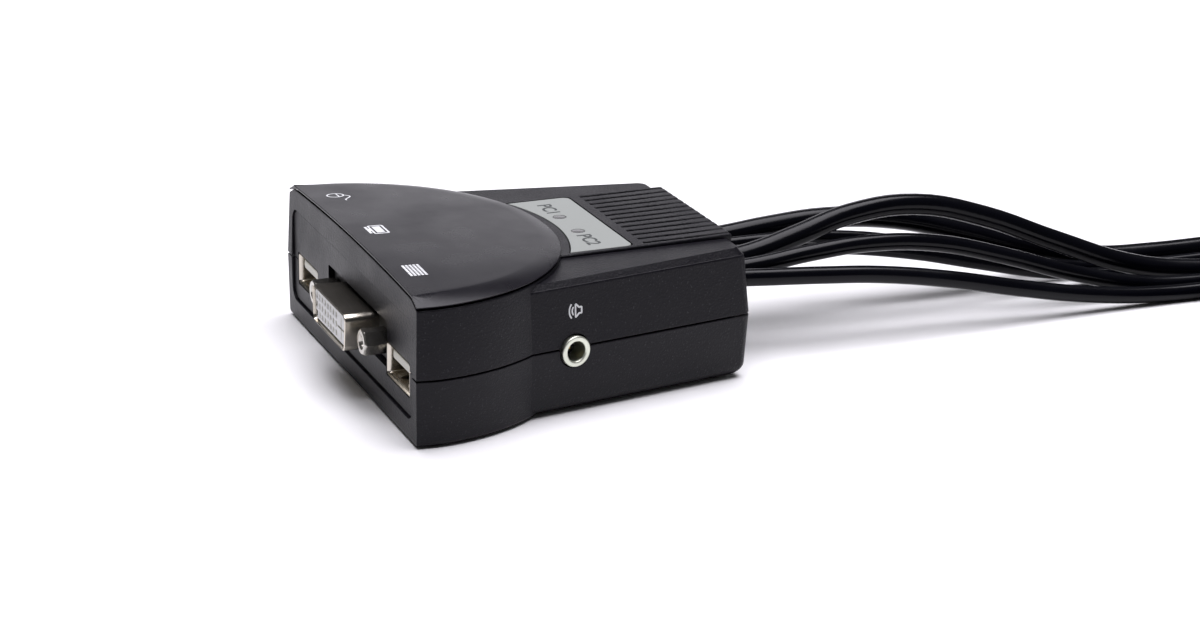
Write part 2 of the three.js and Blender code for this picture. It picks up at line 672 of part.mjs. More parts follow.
// ---------- leads ----------
// Each lead: its plug, thickness and route. Its coil has the middle diameter coilMid, so many
// turns across and so many layers, and lies to the left (wind 1) or the right (wind -1).
const LEADS = [
  {
    name: "dvi_lead_1", plug: "dvi", thick: 4.8, exitX: -14.6,
    coilY: 223, coilMid: 33, across: 2, layers: 5, wind: 1,
    route: [[-14.6, 52, 17.2], [-14.8, 64, 18.3], [-15.2, 78, 18.8], [-15.4, 95, 17.0],
      [-15.2, 112, 12.6], [-14.9, 130, 7.0], [-14.6, 148, 3.2], [-14.6, 164, 2.4]],
  },
  {
    name: "audio_lead_1", plug: "audio", thick: 3.0, exitX: -9.4,
    coilY: 263, coilMid: 27, across: 3, layers: 4, wind: 1,
    route: [[-9.4, 52, 17.0], [-9.7, 64, 16.9], [-10.1, 78, 15.9], [-10.2, 95, 13.0],
      [-10.0, 112, 8.8], [-9.7, 130, 4.5], [-9.5, 148, 2.0], [-9.4, 164, 1.5]],
  },
  {
    name: "audio_lead_2", plug: "audio", thick: 3.0, exitX: -4.8,
    coilY: 311, coilMid: 27, across: 3, layers: 4, wind: 1,
    route: [[-4.8, 52, 16.6], [-5.0, 64, 16.1], [-5.2, 78, 14.8], [-5.2, 95, 11.9],
      [-5.0, 112, 7.9], [-4.9, 130, 3.9], [-4.8, 148, 1.8], [-4.8, 164, 1.5]],
  },
  {
    name: "dvi_lead_2", plug: "dvi", thick: 4.8, exitX: 1.0,
    coilY: 297.5, coilMid: 33, across: 2, layers: 5, wind: -1,
    route: [[0.7, 52, 17.7], [-0.8, 64, 20.2], [-3.4, 78, 23.0], [-5.0, 95, 23.2],
      [-4.8, 112, 19.0], [-2.6, 130, 12.0], [-0.2, 148, 5.6], [0.8, 164, 2.9], [1.0, 182, 2.4]],
  },
  {
    name: "usb_lead_1", plug: "usb", thick: 3.8, exitX: 7.0,
    coilY: 234, coilMid: 31, across: 3, layers: 4, wind: -1,
    route: [[7.0, 52, 17.3], [6.5, 64, 18.5], [5.7, 78, 19.0], [5.0, 95, 17.2],
      [5.1, 112, 12.7], [6.0, 130, 7.0], [6.8, 148, 2.9], [7.0, 164, 1.9]],
  },
  {
    name: "usb_lead_2", plug: "usb", thick: 3.8, exitX: 12.5,
    coilY: 176, coilMid: 31, across: 3, layers: 4, wind: -1,
    route: [[12.5, 52, 16.2], [12.4, 64, 15.3], [12.4, 78, 14.0], [12.6, 95, 11.2],
      [12.8, 112, 7.5], [12.7, 130, 4.1], [12.5, 148, 2.2], [12.5, 164, 1.9]],
  },
];
const TAIL_ANGLE = (210 * Math.PI) / 180; // where a lead leaves its coil's top turn
const TAIL_SHARE = 0.464; // the tail's bend as a share of the outer turn's radius

// A plain round lead of eight sides along a smooth curve.
function tube(points, radius, steps) {
  const section = new THREE.Shape();
  for (let i = 0; i < 8; i++) {
    const angle = (i / 8) * 2 * Math.PI;
    section[i ? "lineTo" : "moveTo"](radius * Math.cos(angle), radius * Math.sin(angle));
  }
  const extrudePath = new THREE.CatmullRomCurve3(points.map((p) => new THREE.Vector3(...p)));
  return new THREE.ExtrudeGeometry(section, { steps, extrudePath, bevelEnabled: false });
}

// The coil's places, worked out from the lead's own sizes.
function coilOf(lead) {
  const outerTurn = lead.coilMid / 2 + ((lead.across - 1) / 2) * lead.thick;
  const wide = (lead.across * lead.thick) / 2;
  return {
    outerTurn,
    x: lead.exitX - lead.wind * outerTurn,
    inside: lead.coilMid / 2 - wide,
    outside: lead.coilMid / 2 + wide,
    height: lead.layers * lead.thick,
    leadIn: Math.sqrt(2 * outerTurn * lead.thick + lead.thick ** 2) + 2,
    bend: TAIL_SHARE * outerTurn,
  };
}

const plugZ = (lead) => lead.layers * lead.thick + GAP + PLUG_RISE[lead.plug];
const tailEndY = (lead) => {
  const { outerTurn, bend } = coilOf(lead);
  return lead.coilY + (outerTurn - bend) * Math.sin(TAIL_ANGLE);
};

// The coil's outer shape, with the stretch that runs into it and the one up to the plug.
function coilSolid(lead) {
  const coil = coilOf(lead);
  const profile = [[coil.inside, 0.05], [coil.outside, 0.05], [coil.outside, coil.height],
    [coil.inside, coil.height], [coil.inside, 0.05]];
  const ring = turned(profile, 28).rotateX(Math.PI / 2).translate(coil.x, lead.coilY, 0);
  const lane = lead.exitX;
  const r = lead.thick / 2;
  const entry = tube([[lane, lead.coilY - coil.leadIn, r], [lane, lead.coilY, r]], r, 1);
  const tail = [];
  for (let i = 0; i <= 8; i++) {
    const share = i / 8;
    const angle = TAIL_ANGLE + share * (2 * Math.PI - TAIL_ANGLE);
    const reach = coil.outerTurn - coil.bend;
    const east = reach * Math.cos(TAIL_ANGLE) + coil.bend * Math.cos(angle);
    const north = reach * Math.sin(TAIL_ANGLE) + coil.bend * Math.sin(angle);
    const rise = THREE.MathUtils.smoothstep(share, 0, 0.95);
    const z = THREE.MathUtils.lerp((lead.layers - 0.4) * lead.thick, plugZ(lead), rise);
    tail.push([coil.x + lead.wind * east, lead.coilY + north, z]);
  }
  return join(solid(ring), solid(entry), solid(tube(tail, r - 0.05, 10)));
}

// A moulded hood's tapered relief, from y0 to y1.
function relief(x, y0, y1, z, r0, r1) {
  const length = y1 - y0;
  return new THREE.CylinderGeometry(r1, r0, length, 12).translate(x, y0 + length / 2, z);
}

// A video plug: moulded hood with two ears, D-shaped shell and a thumbscrew in each ear.
function dviPlug(name, x, y, z) {
  const face = y + DVI_HOOD_L;
  const tip = face + 6.5;
  const body = solid(roundedBar(x, z, DVI_HOOD_W, 2 * PLUG_RISE.dvi - 0.6, 2.5, y + 12, face));
  const ears = solid(roundedBar(x, z, DVI_EAR_W, 9, 2, face - 6, face));
  const neck = solid(relief(x, y, y + 13, z, 3.4, 4.6));
  const screws = [-1, 1].map((side) => x + (side * JACKSCREW_SPACING) / 2);
  const holes = screws.map((at) => solid(alongY(at, z, face - 8, face + 2, 1.9, 12)));
  add(`${name}_hood`, cut(join(body, ears, neck), ...holes), HOOD);
  const outer = solid(roundedBar(x, z, 22.4, 8, 1.4, face + GAP, tip, DVI_TAPER));
  const inner = solid(roundedBar(x, z, 21.2, 6.8, 1.1, tip - 3.8, tip + 1, DVI_TAPER));
  add(`${name}_shell`, cut(outer, inner), NICKEL);
  screws.forEach((at, i) => {
    const head = solid(alongY(at, z, face - 16, face - 6 - GAP, 2.3, 14));
    const shaft = solid(alongY(at, z, face - 7, face + 5, 1.5, 10));
    add(`${name}_thumbscrew_${i + 1}`, join(head, shaft), STEEL);
  });
}

// A USB-A plug: moulded hood and steel shell.
function usbPlug(name, x, y, z) {
  const face = y + USB_HOOD_L;
  const tip = face + 12;
  const body = solid(roundedBar(x, z, USB_HOOD_W, 2 * PLUG_RISE.usb - 0.4, 1.8, y + 8, face));
  const neck = solid(relief(x, y, y + 9, z, 2.6, 3.4));
  add(`${name}_hood`, join(body, neck), HOOD);
  const outer = solid(span([x - 6, face + GAP, z - 2.25], [x + 6, tip, z + 2.25]));
  const inner = solid(span([x - 5.5, face + 2, z - 1.75], [x + 5.5, tip + 1, z + 1.75]));
  add(`${name}_shell`, cut(outer, inner), NICKEL);
}

// A 3.5 mm audio plug: round hood and pin with a waisted tip.
function audioPlug(name, x, y, z) {
  const length = AUDIO_HOOD_L;
  const grip = [[2.6, 6], [AUDIO_HOOD_R, 7], [AUDIO_HOOD_R, length - 2], [3.2, length]];
  const hood = turned([[0, 0], [2.1, 0], ...grip, [0, length]], 16);
  add(`${name}_hood`, solid(hood.translate(x, y, z)), HOOD);
  const tip = [[1.75, 11], [1.2, 11.8], [1.7, 12.6], [0.6, 14]];
  const pin = turned([[0, 0], [1.75, 0], ...tip, [0, 14]], 12);
  add(`${name}_pin`, solid(pin.translate(x, y + length + GAP, z)), STEEL);
}

// The moulded bar that closes the rear slot, with a collar round each lead.
function cableGrommet() {
  const inner = REAR_Y - WALL - 2;
  const half = SLOT_HALF - GAP;
  const high = SLOT_H / 2 - GAP;
  const bar = solid(span([-half, inner, SLOT_Z - high], [half, REAR_Y + 0.1, SLOT_Z + high]));
  const collars = LEADS.map((lead) => {
    const r = lead.thick / 2;
    return solid(relief(lead.exitX, REAR_Y - 0.5, COLLAR_END_Y, SLOT_Z, r + 0.9, r + 0.35));
  });
  return join(bar, ...collars);
}

add("cable_grommet", cableGrommet(), RUBBER);

const PLUG_MAKERS = { dvi: dviPlug, usb: usbPlug, audio: audioPlug };
for (const lead of LEADS) {
  const coil = coilOf(lead);
  const lane = lead.exitX;
  const exit = [lane, COLLAR_END_Y + GAP, SLOT_Z];
  const meets = [lane, lead.coilY - coil.leadIn - GAP, lead.thick / 2];
  const steps = Math.round((meets[1] - exit[1]) / (2.6 * lead.thick));
  add(lead.name, tube([exit, ...lead.route, meets], lead.thick / 2, steps), JACKET);
  add(lead.name.replace("lead", "coil"), coilSolid(lead), JACKET);
  const plug = lead.name.replace("lead", "plug");
  PLUG_MAKERS[lead.plug](plug, coil.x, tailEndY(lead) + 2 * GAP, plugZ(lead));
}

export default group;
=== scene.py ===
"""Two-computer KVM switch: the visual model of its case, sockets, leads and plugs.

Sizes are in millimetres in the row frame and become metres when a mesh is made. +X is to the
right as seen from the sockets, +Y runs back to the leads and +Z is up.
"""
import logging
import math
from dataclasses import dataclass, field
from enum import Enum
from typing import Callable, Sequence

import bmesh
import bpy
import numpy as np
from mathutils import Matrix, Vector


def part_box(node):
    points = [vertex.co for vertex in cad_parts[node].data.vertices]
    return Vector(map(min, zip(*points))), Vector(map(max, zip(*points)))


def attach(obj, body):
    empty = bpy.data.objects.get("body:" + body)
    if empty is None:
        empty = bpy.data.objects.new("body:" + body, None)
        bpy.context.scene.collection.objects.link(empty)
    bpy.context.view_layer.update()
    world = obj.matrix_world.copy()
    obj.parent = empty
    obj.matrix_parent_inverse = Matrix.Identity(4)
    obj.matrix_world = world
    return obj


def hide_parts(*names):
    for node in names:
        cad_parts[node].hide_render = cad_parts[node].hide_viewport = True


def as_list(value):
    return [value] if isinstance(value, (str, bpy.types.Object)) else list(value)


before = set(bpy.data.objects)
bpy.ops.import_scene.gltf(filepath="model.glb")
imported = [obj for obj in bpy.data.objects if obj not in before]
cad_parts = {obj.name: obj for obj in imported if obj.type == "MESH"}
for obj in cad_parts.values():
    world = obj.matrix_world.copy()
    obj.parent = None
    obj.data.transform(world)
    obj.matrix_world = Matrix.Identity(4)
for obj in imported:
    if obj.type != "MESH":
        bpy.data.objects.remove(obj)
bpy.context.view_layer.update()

MM = 0.001
GAP = 0.3
LOG = logging.getLogger("kvm_switch")
Outline = Callable[[float], np.ndarray]


class Body(Enum):
    """The rigid bodies that the visual pieces ride on."""

    CASE = "case"
    CAP = "cap"


class Carve(Enum):
    """What the tools do to the piece that they are laid on."""

    CUT = "DIFFERENCE"
    ADD = "UNION"


class Cap(Enum):
    """How the two ends of a loft are closed."""

    FLAT = "one flat face"
    FAN = "a fan of triangles to the middle"
    RING = "no ends: the last ring meets the first"


# ---------- arrays of points ----------
def level(plan: np.ndarray, z: float | np.ndarray) -> np.ndarray:
    """Lifts a plan outline to a height.

    Args:
        plan: N points in X and Y.
        z: one height, or a height for each point.

    Returns:
        N points in X, Y and Z.
    """
    return np.column_stack([plan, np.broadcast_to(z, len(plan))])


def upright(outline: np.ndarray, y: float) -> np.ndarray:
    """Stands an outline in X and Z up at one Y.

    Args:
        outline: N points in X and Z.
        y: where along Y it stands.

    Returns:
        N points in X, Y and Z.
    """
    return np.column_stack([outline[:, 0], np.full(len(outline), y), outline[:, 1]])


def rounded_outline(corners: Sequence, radius: float, steps: int = 7) -> np.ndarray:
    """Turns each corner of a polygon into an arc.

    An arc's centre is on the corner's bisector, at radius / sin(half the corner's angle).

    Args:
        corners: the polygon's corners in order.
        radius: radius of every corner.
        steps: straight steps in each arc.

    Returns:
        (steps + 1) points for each corner.
    """
    at = np.asarray(corners, float)
    back = np.roll(at, 1, 0) - at
    ahead = np.roll(at, -1, 0) - at
    back /= np.linalg.norm(back, axis=1)[:, None]
    ahead /= np.linalg.norm(ahead, axis=1)[:, None]
    half = 0.5 * np.arccos(np.clip((back * ahead).sum(1), -1, 1))
    bisector = (back + ahead) / np.linalg.norm(back + ahead, axis=1)[:, None]
    centre = at + bisector * (radius / np.sin(half))[:, None]
    start = at + back * (radius / np.tan(half))[:, None] - centre
    end = at + ahead * (radius / np.tan(half))[:, None] - centre
    first = np.arctan2(start[:, 1], start[:, 0])
    turn = np.arctan2(end[:, 1], end[:, 0]) - first
    turn = (turn + np.pi) % (2 * np.pi) - np.pi
    angle = first[:, None] + turn[:, None] * np.linspace(0, 1, steps + 1)
    arc = np.stack([np.cos(angle), np.sin(angle)], -1) * radius
    return (centre[:, None, :] + arc).reshape(-1, 2)


def slab_outline(x: float, z: float, w: float, h: float, radius: float, taper: float = 0.0,
                 steps: int = 7) -> np.ndarray:
    """A rounded rectangle, or a trapezium that is narrower below.

    Args:
        x: middle, first axis.
        z: middle, second axis.
        w: width along the top.
        h: height.
        radius: corner radius.
        taper: how much narrower the lower edge is on each side.
        steps: steps in each corner.

    Returns:
        The outline, anticlockwise.
    """
    low, high = w / 2 - taper, w / 2
    bottom, top = z - h / 2, z + h / 2
    corners = [(x - low, bottom), (x + low, bottom), (x + high, top), (x - high, top)]
    return rounded_outline(corners, radius, steps)


def circle(radius: float, count: int, x: float = 0.0, y: float = 0.0) -> np.ndarray:
    """A circle of evenly spaced points.

    Args:
        radius: its radius.
        count: how many points.
        x: middle, first axis.
        y: middle, second axis.

    Returns:
        The outline, anticlockwise from +X.
    """
    angle = np.arange(count) / count * 2 * np.pi
    return np.column_stack([x + radius * np.cos(angle), y + radius * np.sin(angle)])


def ring_y(radius: float | np.ndarray, angle: np.ndarray, y: float) -> np.ndarray:
    """A ring round the Y axis, with one radius or a radius for each angle."""
    return np.column_stack([radius * np.cos(angle), np.full(len(angle), y), radius * np.sin(angle)])


def turn_z(points: np.ndarray, angle: float) -> np.ndarray:
    """Turns points about the Z axis by an angle in radians."""
    c, s = math.cos(angle), math.sin(angle)
    return points @ np.array([[c, s, 0], [-s, c, 0], [0, 0, 1]])


# ---------- meshes ----------
def grid_faces(rows: int, columns: int, close_rows: bool) -> np.ndarray:
    """Quads over a grid whose columns wrap round.

    Args:
        rows: how many rings.
        columns: points in a ring.
        close_rows: whether the last ring joins the first.

    Returns:
        An array of four point numbers for each quad.
    """
    r = np.arange(rows if close_rows else rows - 1)[:, None]
    c = np.arange(columns)[None, :]
    a = r * columns + c
    b = r * columns + (c + 1) % columns
    up = ((r + 1) % rows) * columns
    return np.stack([a, b, up + (c + 1) % columns, up + c], -1).reshape(-1, 4)


def loft(rings: Sequence[np.ndarray], cap: Cap = Cap.FLAT) -> tuple[np.ndarray, list]:
    """Skin over rings of equal count.

    Args:
        rings: the rings, in order along the piece.
        cap: how the ends are closed.

    Returns:
        Points and faces.
    """
    stack = np.asarray(rings, float)
    rows, columns = stack.shape[:2]
    points = stack.reshape(-1, 3)
    faces = grid_faces(rows, columns, cap is Cap.RING).tolist()
    last = (rows - 1) * columns
    if cap is Cap.FLAT:
        faces.append(list(range(columns))[::-1])
        faces.append(list(range(last, last + columns)))
    if cap is Cap.FAN:
        hubs = np.stack([stack[0].mean(0), stack[-1].mean(0)])
        points = np.concatenate([points, hubs])
        c = np.arange(columns)
        n = (c + 1) % columns
        low = np.full(columns, last + columns)
        faces += np.stack([n, c, low], -1).tolist()
        faces += np.stack([last + c, last + n, low + 1], -1).tolist()
    return points, faces


def merge(parts: Sequence[tuple[np.ndarray, list]]) -> tuple[np.ndarray, list]:
    """Puts several separate skins into one.

    Args:
        parts: points and faces of each.

    Returns:
        Points and faces of them all.
    """
    points = np.concatenate([p for p, _ in parts])
    faces = []
    start = 0
    for p, f in parts:
        faces += [[start + i for i in face] for face in f]
        start += len(p)
    return points, faces


def add_object(name: str, data: bpy.types.ID) -> bpy.types.Object:
    """Puts a new object into the scene.

    Args:
        name: the object's name.
        data: its mesh, curve, lamp or camera.

    Returns:
        The object, at the origin.
    """
    piece = bpy.data.objects.new(name, data)
    bpy.context.scene.collection.objects.link(piece)
    return piece


def mesh_object(name: str, skin: tuple[np.ndarray, list]) -> bpy.types.Object:
    """Makes an object of a skin in millimetres, with every face turned outwards.

    Args:
        name: the object's name.
        skin: points and faces.

    Returns:
        The object, at the origin.
    """
    points, faces = skin
    mesh = bpy.data.meshes.new(name)
    mesh.from_pydata(points * MM, [], faces)
    work = bmesh.new()
    work.from_mesh(mesh)
    bmesh.ops.remove_doubles(work, verts=work.verts, dist=1e-7)
    bmesh.ops.recalc_face_normals(work, faces=work.faces)
    work.to_mesh(mesh)
    work.free()
    return add_object(name, mesh)


def shade(piece: bpy.types.Object, angle: float = 32.0, weighted: bool = True) -> None:
    """Smooth shading that stays sharp where faces meet at more than an angle.

    Args:
        piece: the object.
        angle: the angle in degrees.
        weighted: whether large faces rule the normals at their edges.
    """
    mesh = piece.data
    mesh.polygons.foreach_set("use_smooth", np.ones(len(mesh.polygons), bool))
    mesh.set_sharp_from_angle(angle=math.radians(angle))
    if weighted:
        modifier = piece.modifiers.new("even_shading", "WEIGHTED_NORMAL")
        modifier.keep_sharp = True
        modifier.weight = 80


def carve(piece: bpy.types.Object, tools: Sequence[bpy.types.Object], how: Carve = Carve.CUT) -> None:
    """Cuts away or adds closed tool meshes, then removes them.

    Args:
        piece: the object that changes.
        tools: closed meshes.
        how: whether they are cut away or added.
    """
    for tool in tools:
        modifier = piece.modifiers.new("carve", "BOOLEAN")
        modifier.operation = how.value
        modifier.solver = "MANIFOLD"
        modifier.object = tool
    graph = bpy.context.evaluated_depsgraph_get()
    result = bpy.data.meshes.new_from_object(piece.evaluated_get(graph))
    piece.modifiers.clear()
    piece.data = result
    result.name = piece.name
    for tool in tools:
        bpy.data.objects.remove(tool)


def bar_y(name: str, outline: Outline, ends: Sequence[tuple[float, float]]) -> bpy.types.Object:
    """A bar along Y whose outline changes with its inset.

    Args:
        name: the object's name.
        outline: the outline in X and Z for an inset.
        ends: (inset, y) for each ring.

    Returns:
        The object.
    """
    return mesh_object(name, loft([upright(outline(inset), y) for inset, y in ends]))


def bar_z(name: str, outline: Outline, ends: Sequence[tuple[float, float]]) -> bpy.types.Object:
    """A bar along Z whose plan changes with its inset.

    Args:
        name: the object's name.
        outline: the plan in X and Y for an inset.
        ends: (inset, z) for each ring.

    Returns:
        The object.
    """
    return mesh_object(name, loft([level(outline(inset), z) for inset, z in ends]))


def round_z(name: str, x: float, y: float, radius: float, ends: Sequence[tuple[float, float]],
            count: int = 48) -> bpy.types.Object:
    """A round bar along Z whose radius changes with its inset.

    Args:
        name: the object's name.
        x: middle, across.
        y: middle, along.
        radius: its radius where the inset is zero.
        ends: (inset, z) for each ring.
        count: points round the axis.

    Returns:
        The object.
    """
    return bar_z(name, lambda inset: circle(radius - inset, count, x, y), ends)


def block(name: str, low: Sequence[float], high: Sequence[float]) -> bpy.types.Object:
    """A box between two corners, used as a cutting tool.

    Args:
        name: the object's name.
        low: lowest corner.
        high: highest corner.

    Returns:
        The object.
    """
    x0, y0, z0 = low
    x1, y1, z1 = high
    plan = np.array([(x0, y0), (x1, y0), (x1, y1), (x0, y1)], float)
    return mesh_object(name, loft([level(plan, z0), level(plan, z1)]))


def turned(profile: Sequence[tuple[float, float]], count: int = 64, knurl: float = 0.0,
           teeth: int = 24) -> tuple[np.ndarray, list]:
    """A turned piece standing along +Y.

    Each ring has the radius r (1 + knurl cos(teeth angle)) where the profile asks for knurling.

    Args:
        profile: (radius, distance) pairs, or (radius, distance, 1) where it is knurled.
        count: points round the axis.
        knurl: depth of the knurling as a share of the radius.
        teeth: ridges round the axis.

    Returns:
        Points and faces.
    """
    angle = np.arange(count) / count * 2 * np.pi
    rings = []
    for step in profile:
        ridge = 1 + (knurl * np.cos(teeth * angle) if len(step) == 3 else 0)
        rings.append(ring_y(max(step[0], 1e-3) * ridge, angle, step[1]))
    return loft(rings)


def moved(skin: tuple[np.ndarray, list], x: float, y: float, z: float) -> tuple[np.ndarray, list]:
    """Moves a skin by a distance on each axis."""
    return skin[0] + np.array([x, y, z]), skin[1]


def stood_up(skin: tuple[np.ndarray, list], x: float, y: float) -> tuple[np.ndarray, list]:
    """Stands a turned skin up along +Z at a place."""
    return skin[0][:, [0, 2, 1]] + [x, y, 0], skin[1]


def stroke(path: np.ndarray, width: float, lay: Callable, closed: bool = False,
           depth: float = 0.05, lift: float = 0.03) -> tuple[np.ndarray, list]:
    """A printed line: a thin flat band carried along a path on a surface.

    The band's edges are the path moved half a width along its own sideways direction.

    Args:
        path: N points in the surface's own two axes.
        width: width of the line.
        lay: gives points in X, Y, Z for surface points and a height over the surface.
        closed: whether the path closes on itself.
        depth: how far the band reaches into the surface.
        lift: how far it stands out.

    Returns:
        Points and faces.
    """
    ahead = np.roll(path, -1, 0) - path
    behind = path - np.roll(path, 1, 0)
    if not closed:
        ahead[-1] = behind[-1]
        behind[0] = ahead[0]
    ahead /= np.linalg.norm(ahead, axis=1)[:, None]
    behind /= np.linalg.norm(behind, axis=1)[:, None]
    along = ahead + behind
    along /= np.linalg.norm(along, axis=1)[:, None]
    side = np.column_stack([-along[:, 1], along[:, 0]]) * width / 2
    left, right = path + side, path - side
    corners = [lay(left, -depth), lay(left, lift), lay(right, lift), lay(right, -depth)]
    return loft(np.stack(corners, 1), Cap.RING if closed else Cap.FLAT)


# ---------- finishes ----------
class Nodes:
    """Short calls for making and joining shader nodes in one tree."""

    def __init__(self, tree: bpy.types.NodeTree) -> None:
        """Holds the tree that the nodes go into."""
        self.tree = tree

    def add(self, kind: str, **values: object) -> bpy.types.Node:
        """Adds a node.

        Args:
            kind: the node's type, without the ShaderNode prefix.
            **values: properties, or input sockets where the name is one.

        Returns:
            The node.
        """
        node = self.tree.nodes.new("ShaderNode" + kind)
        for key, value in values.items():
            if hasattr(node, key):
                setattr(node, key, value)
            else:
                node.inputs[key.replace("_", " ")].default_value = value
        return node

    def join(self, source: bpy.types.NodeSocket, target: bpy.types.NodeSocket) -> None:
        """Joins an output to an input."""
        self.tree.links.new(source, target)

    def ramp(self, source: bpy.types.NodeSocket, low: float, high: float, to_low: float,
             to_high: float) -> bpy.types.NodeSocket:
        """Maps one range of values to another, and clamps it.

        Args:
            source: the values.
            low: value that becomes to_low.
            high: value that becomes to_high.
            to_low: result at low.
            to_high: result at high.

        Returns:
            The mapped values.
        """
        node = self.add("MapRange", From_Min=low, From_Max=high, To_Min=to_low, To_Max=to_high)
        self.join(source, node.inputs["Value"])
        return node.outputs["Result"]

    def blend(self, share: bpy.types.NodeSocket, first: object,
              second: Sequence[float]) -> bpy.types.NodeSocket:
        """Blends two colours.

        Args:
            share: how much of the second.
            first: a colour, or the socket that gives it.
            second: a colour.

        Returns:
            The blended colour.
        """
        node = self.add("Mix", data_type="RGBA")
        if isinstance(first, bpy.types.NodeSocket):
            self.join(first, node.inputs[6])
        else:
            node.inputs[6].default_value = (*first, 1)
        node.inputs[7].default_value = (*second, 1)
        self.join(share, node.inputs[0])
        return node.outputs[2]

    def bump(self, height: bpy.types.NodeSocket, strength: float,
             distance: float) -> bpy.types.NodeSocket:
        """Turns heights into normals.

        Args:
            height: the heights.
            strength: how strongly they show.
            distance: height of the tallest, in metres.

        Returns:
            The normals.
        """
        node = self.add("Bump", Strength=strength, Distance=distance)
        self.join(height, node.inputs["Height"])
        return node.outputs["Normal"]


def grain_group() -> bpy.types.NodeTree:
    """The moulded grain that the plastics share, built once.

    Fine noise gives the height of the grain, a slower noise its unevenness, and the highest
    grains give a mask of small specks, where glints are painted into the colour.

    Returns:
        The group, with the input Scale and three outputs: the grain's height, its unevenness and the mask of
        painted glints.
    """
    known = bpy.data.node_groups.get("moulded_grain")
    if known:
        return known
    tree = bpy.data.node_groups.new("moulded_grain", "ShaderNodeTree")
    scale = tree.interface.new_socket("Scale", in_out="INPUT", socket_type="NodeSocketFloat")
    scale.default_value = 3000
    for name in ("Height", "Cloud", "Speck"):
        tree.interface.new_socket(name, in_out="OUTPUT", socket_type="NodeSocketFloat")
    nodes = Nodes(tree)
    entry = tree.nodes.new("NodeGroupInput")
    leave = tree.nodes.new("NodeGroupOutput")
    place = nodes.add("TexCoord").outputs["Object"]
    fine = nodes.add("TexNoise", Detail=2.0, Roughness=0.6)
    nodes.join(place, fine.inputs["Vector"])
    nodes.join(entry.outputs["Scale"], fine.inputs["Scale"])
    slow = nodes.add("TexNoise", Scale=60.0, Detail=3.0, Roughness=0.55)
    nodes.join(place, slow.inputs["Vector"])
    nodes.join(fine.outputs["Fac"], leave.inputs["Height"])
    nodes.join(slow.outputs["Fac"], leave.inputs["Cloud"])
    # Painted glints: the highest grains, standing in for light that the moulded texture catches, give this
    # mask.
    nodes.join(nodes.ramp(fine.outputs["Fac"], 0.62, 0.72, 0, 1), leave.inputs["Speck"])
    return tree


def new_material(name: str) -> tuple[bpy.types.Material, Nodes, bpy.types.Node]:
    """Starts a material: a Principled surface joined to the output.

    Args:
        name: the material's name.

    Returns:
        The material, its nodes and its surface.
    """
    material = bpy.data.materials.new(name)
    material.use_nodes = True
    material.node_tree.nodes.clear()
    nodes = Nodes(material.node_tree)
    surface = nodes.add("BsdfPrincipled")
    nodes.join(surface.outputs["BSDF"], nodes.add("OutputMaterial").inputs["Surface"])
    return material, nodes, surface


@dataclass(frozen=True)
class Moulding:
    """A moulded plastic or rubber: its colour, its grain, and glints painted into its colour on the grain's
    peaks.
    """

    name: str
    color: tuple[float, float, float]
    roughness: float
    grain: float = 3200.0
    depth: float = 0.00002
    strength: float = 0.4
    speck: float = 0.0
    uneven: float = 0.12
    specular: float = 0.5
    coat: float = 0.0

    def make(self) -> bpy.types.Material:
        """Builds the material, or finds it where it is built already."""
        known = bpy.data.materials.get(self.name)
        if known:
            return known
        material, nodes, surface = new_material(self.name)
        surface.inputs["Specular IOR Level"].default_value = self.specular
        surface.inputs["Coat Weight"].default_value = self.coat
        surface.inputs["Coat Roughness"].default_value = 0.25
        grain = nodes.add("Group")
        grain.node_tree = grain_group()
        grain.inputs["Scale"].default_value = self.grain
        cloud = grain.outputs["Cloud"]
        dark = [c * (1 - self.uneven) for c in self.color]
        light = [c * (1 + self.uneven) for c in self.color]
        # Painted glints: the grain's peaks are lightened towards a brighter colour, standing in for light
        # caught by the texture.
        painted_glint_color = [min(1, c * 3 + 0.05) for c in self.color]
        color = nodes.blend(nodes.ramp(cloud, 0.3, 0.7, 0, 1), dark, light)
        color = nodes.blend(nodes.ramp(grain.outputs["Speck"], 0, 1, 0, self.speck), color, painted_glint_color)
        nodes.join(color, surface.inputs["Base Color"])
        rough = nodes.ramp(cloud, 0.3, 0.7, self.roughness - 0.06, self.roughness + 0.06)
        nodes.join(rough, surface.inputs["Roughness"])
        normal = nodes.bump(grain.outputs["Height"], self.strength, self.depth)
        nodes.join(normal, surface.inputs["Normal"])
        return material


@dataclass(frozen=True)
class Plating:
    """A plated metal: its colour, and fine scratches that run along one axis."""

    name: str
    color: tuple[float, float, float]
    roughness: float
    scratch: tuple[float, float, float] = (400.0, 3000.0, 3000.0)

    def make(self) -> bpy.types.Material:
        """Builds the material, or finds it where it is built already."""
        known = bpy.data.materials.get(self.name)
        if known:
            return known
        material, nodes, surface = new_material(self.name)
        surface.inputs["Metallic"].default_value = 1.0
        place = nodes.add("TexCoord").outputs["Object"]
        stretch = nodes.add("Mapping", Scale=self.scratch)
        nodes.join(place, stretch.inputs["Vector"])
        lines = nodes.add("TexNoise", Scale=1.0, Detail=4.0, Roughness=0.7)
        nodes.join(stretch.outputs["Vector"], lines.inputs["Vector"])
        haze = nodes.add("TexNoise", Scale=220.0, Detail=3.0)
        nodes.join(place, haze.inputs["Vector"])
        dim = [c * 0.9 for c in self.color]
        color = nodes.blend(nodes.ramp(haze.outputs["Fac"], 0.35, 0.65, 0, 1), dim, self.color)
        nodes.join(color, surface.inputs["Base Color"])
        line = lines.outputs["Fac"]
        rough = nodes.ramp(line, 0.3, 0.7, self.roughness - 0.02, self.roughness + 0.03)
        nodes.join(rough, surface.inputs["Roughness"])
        nodes.join(nodes.bump(line, 0.05, 0.000005), surface.inputs["Normal"])
        return material


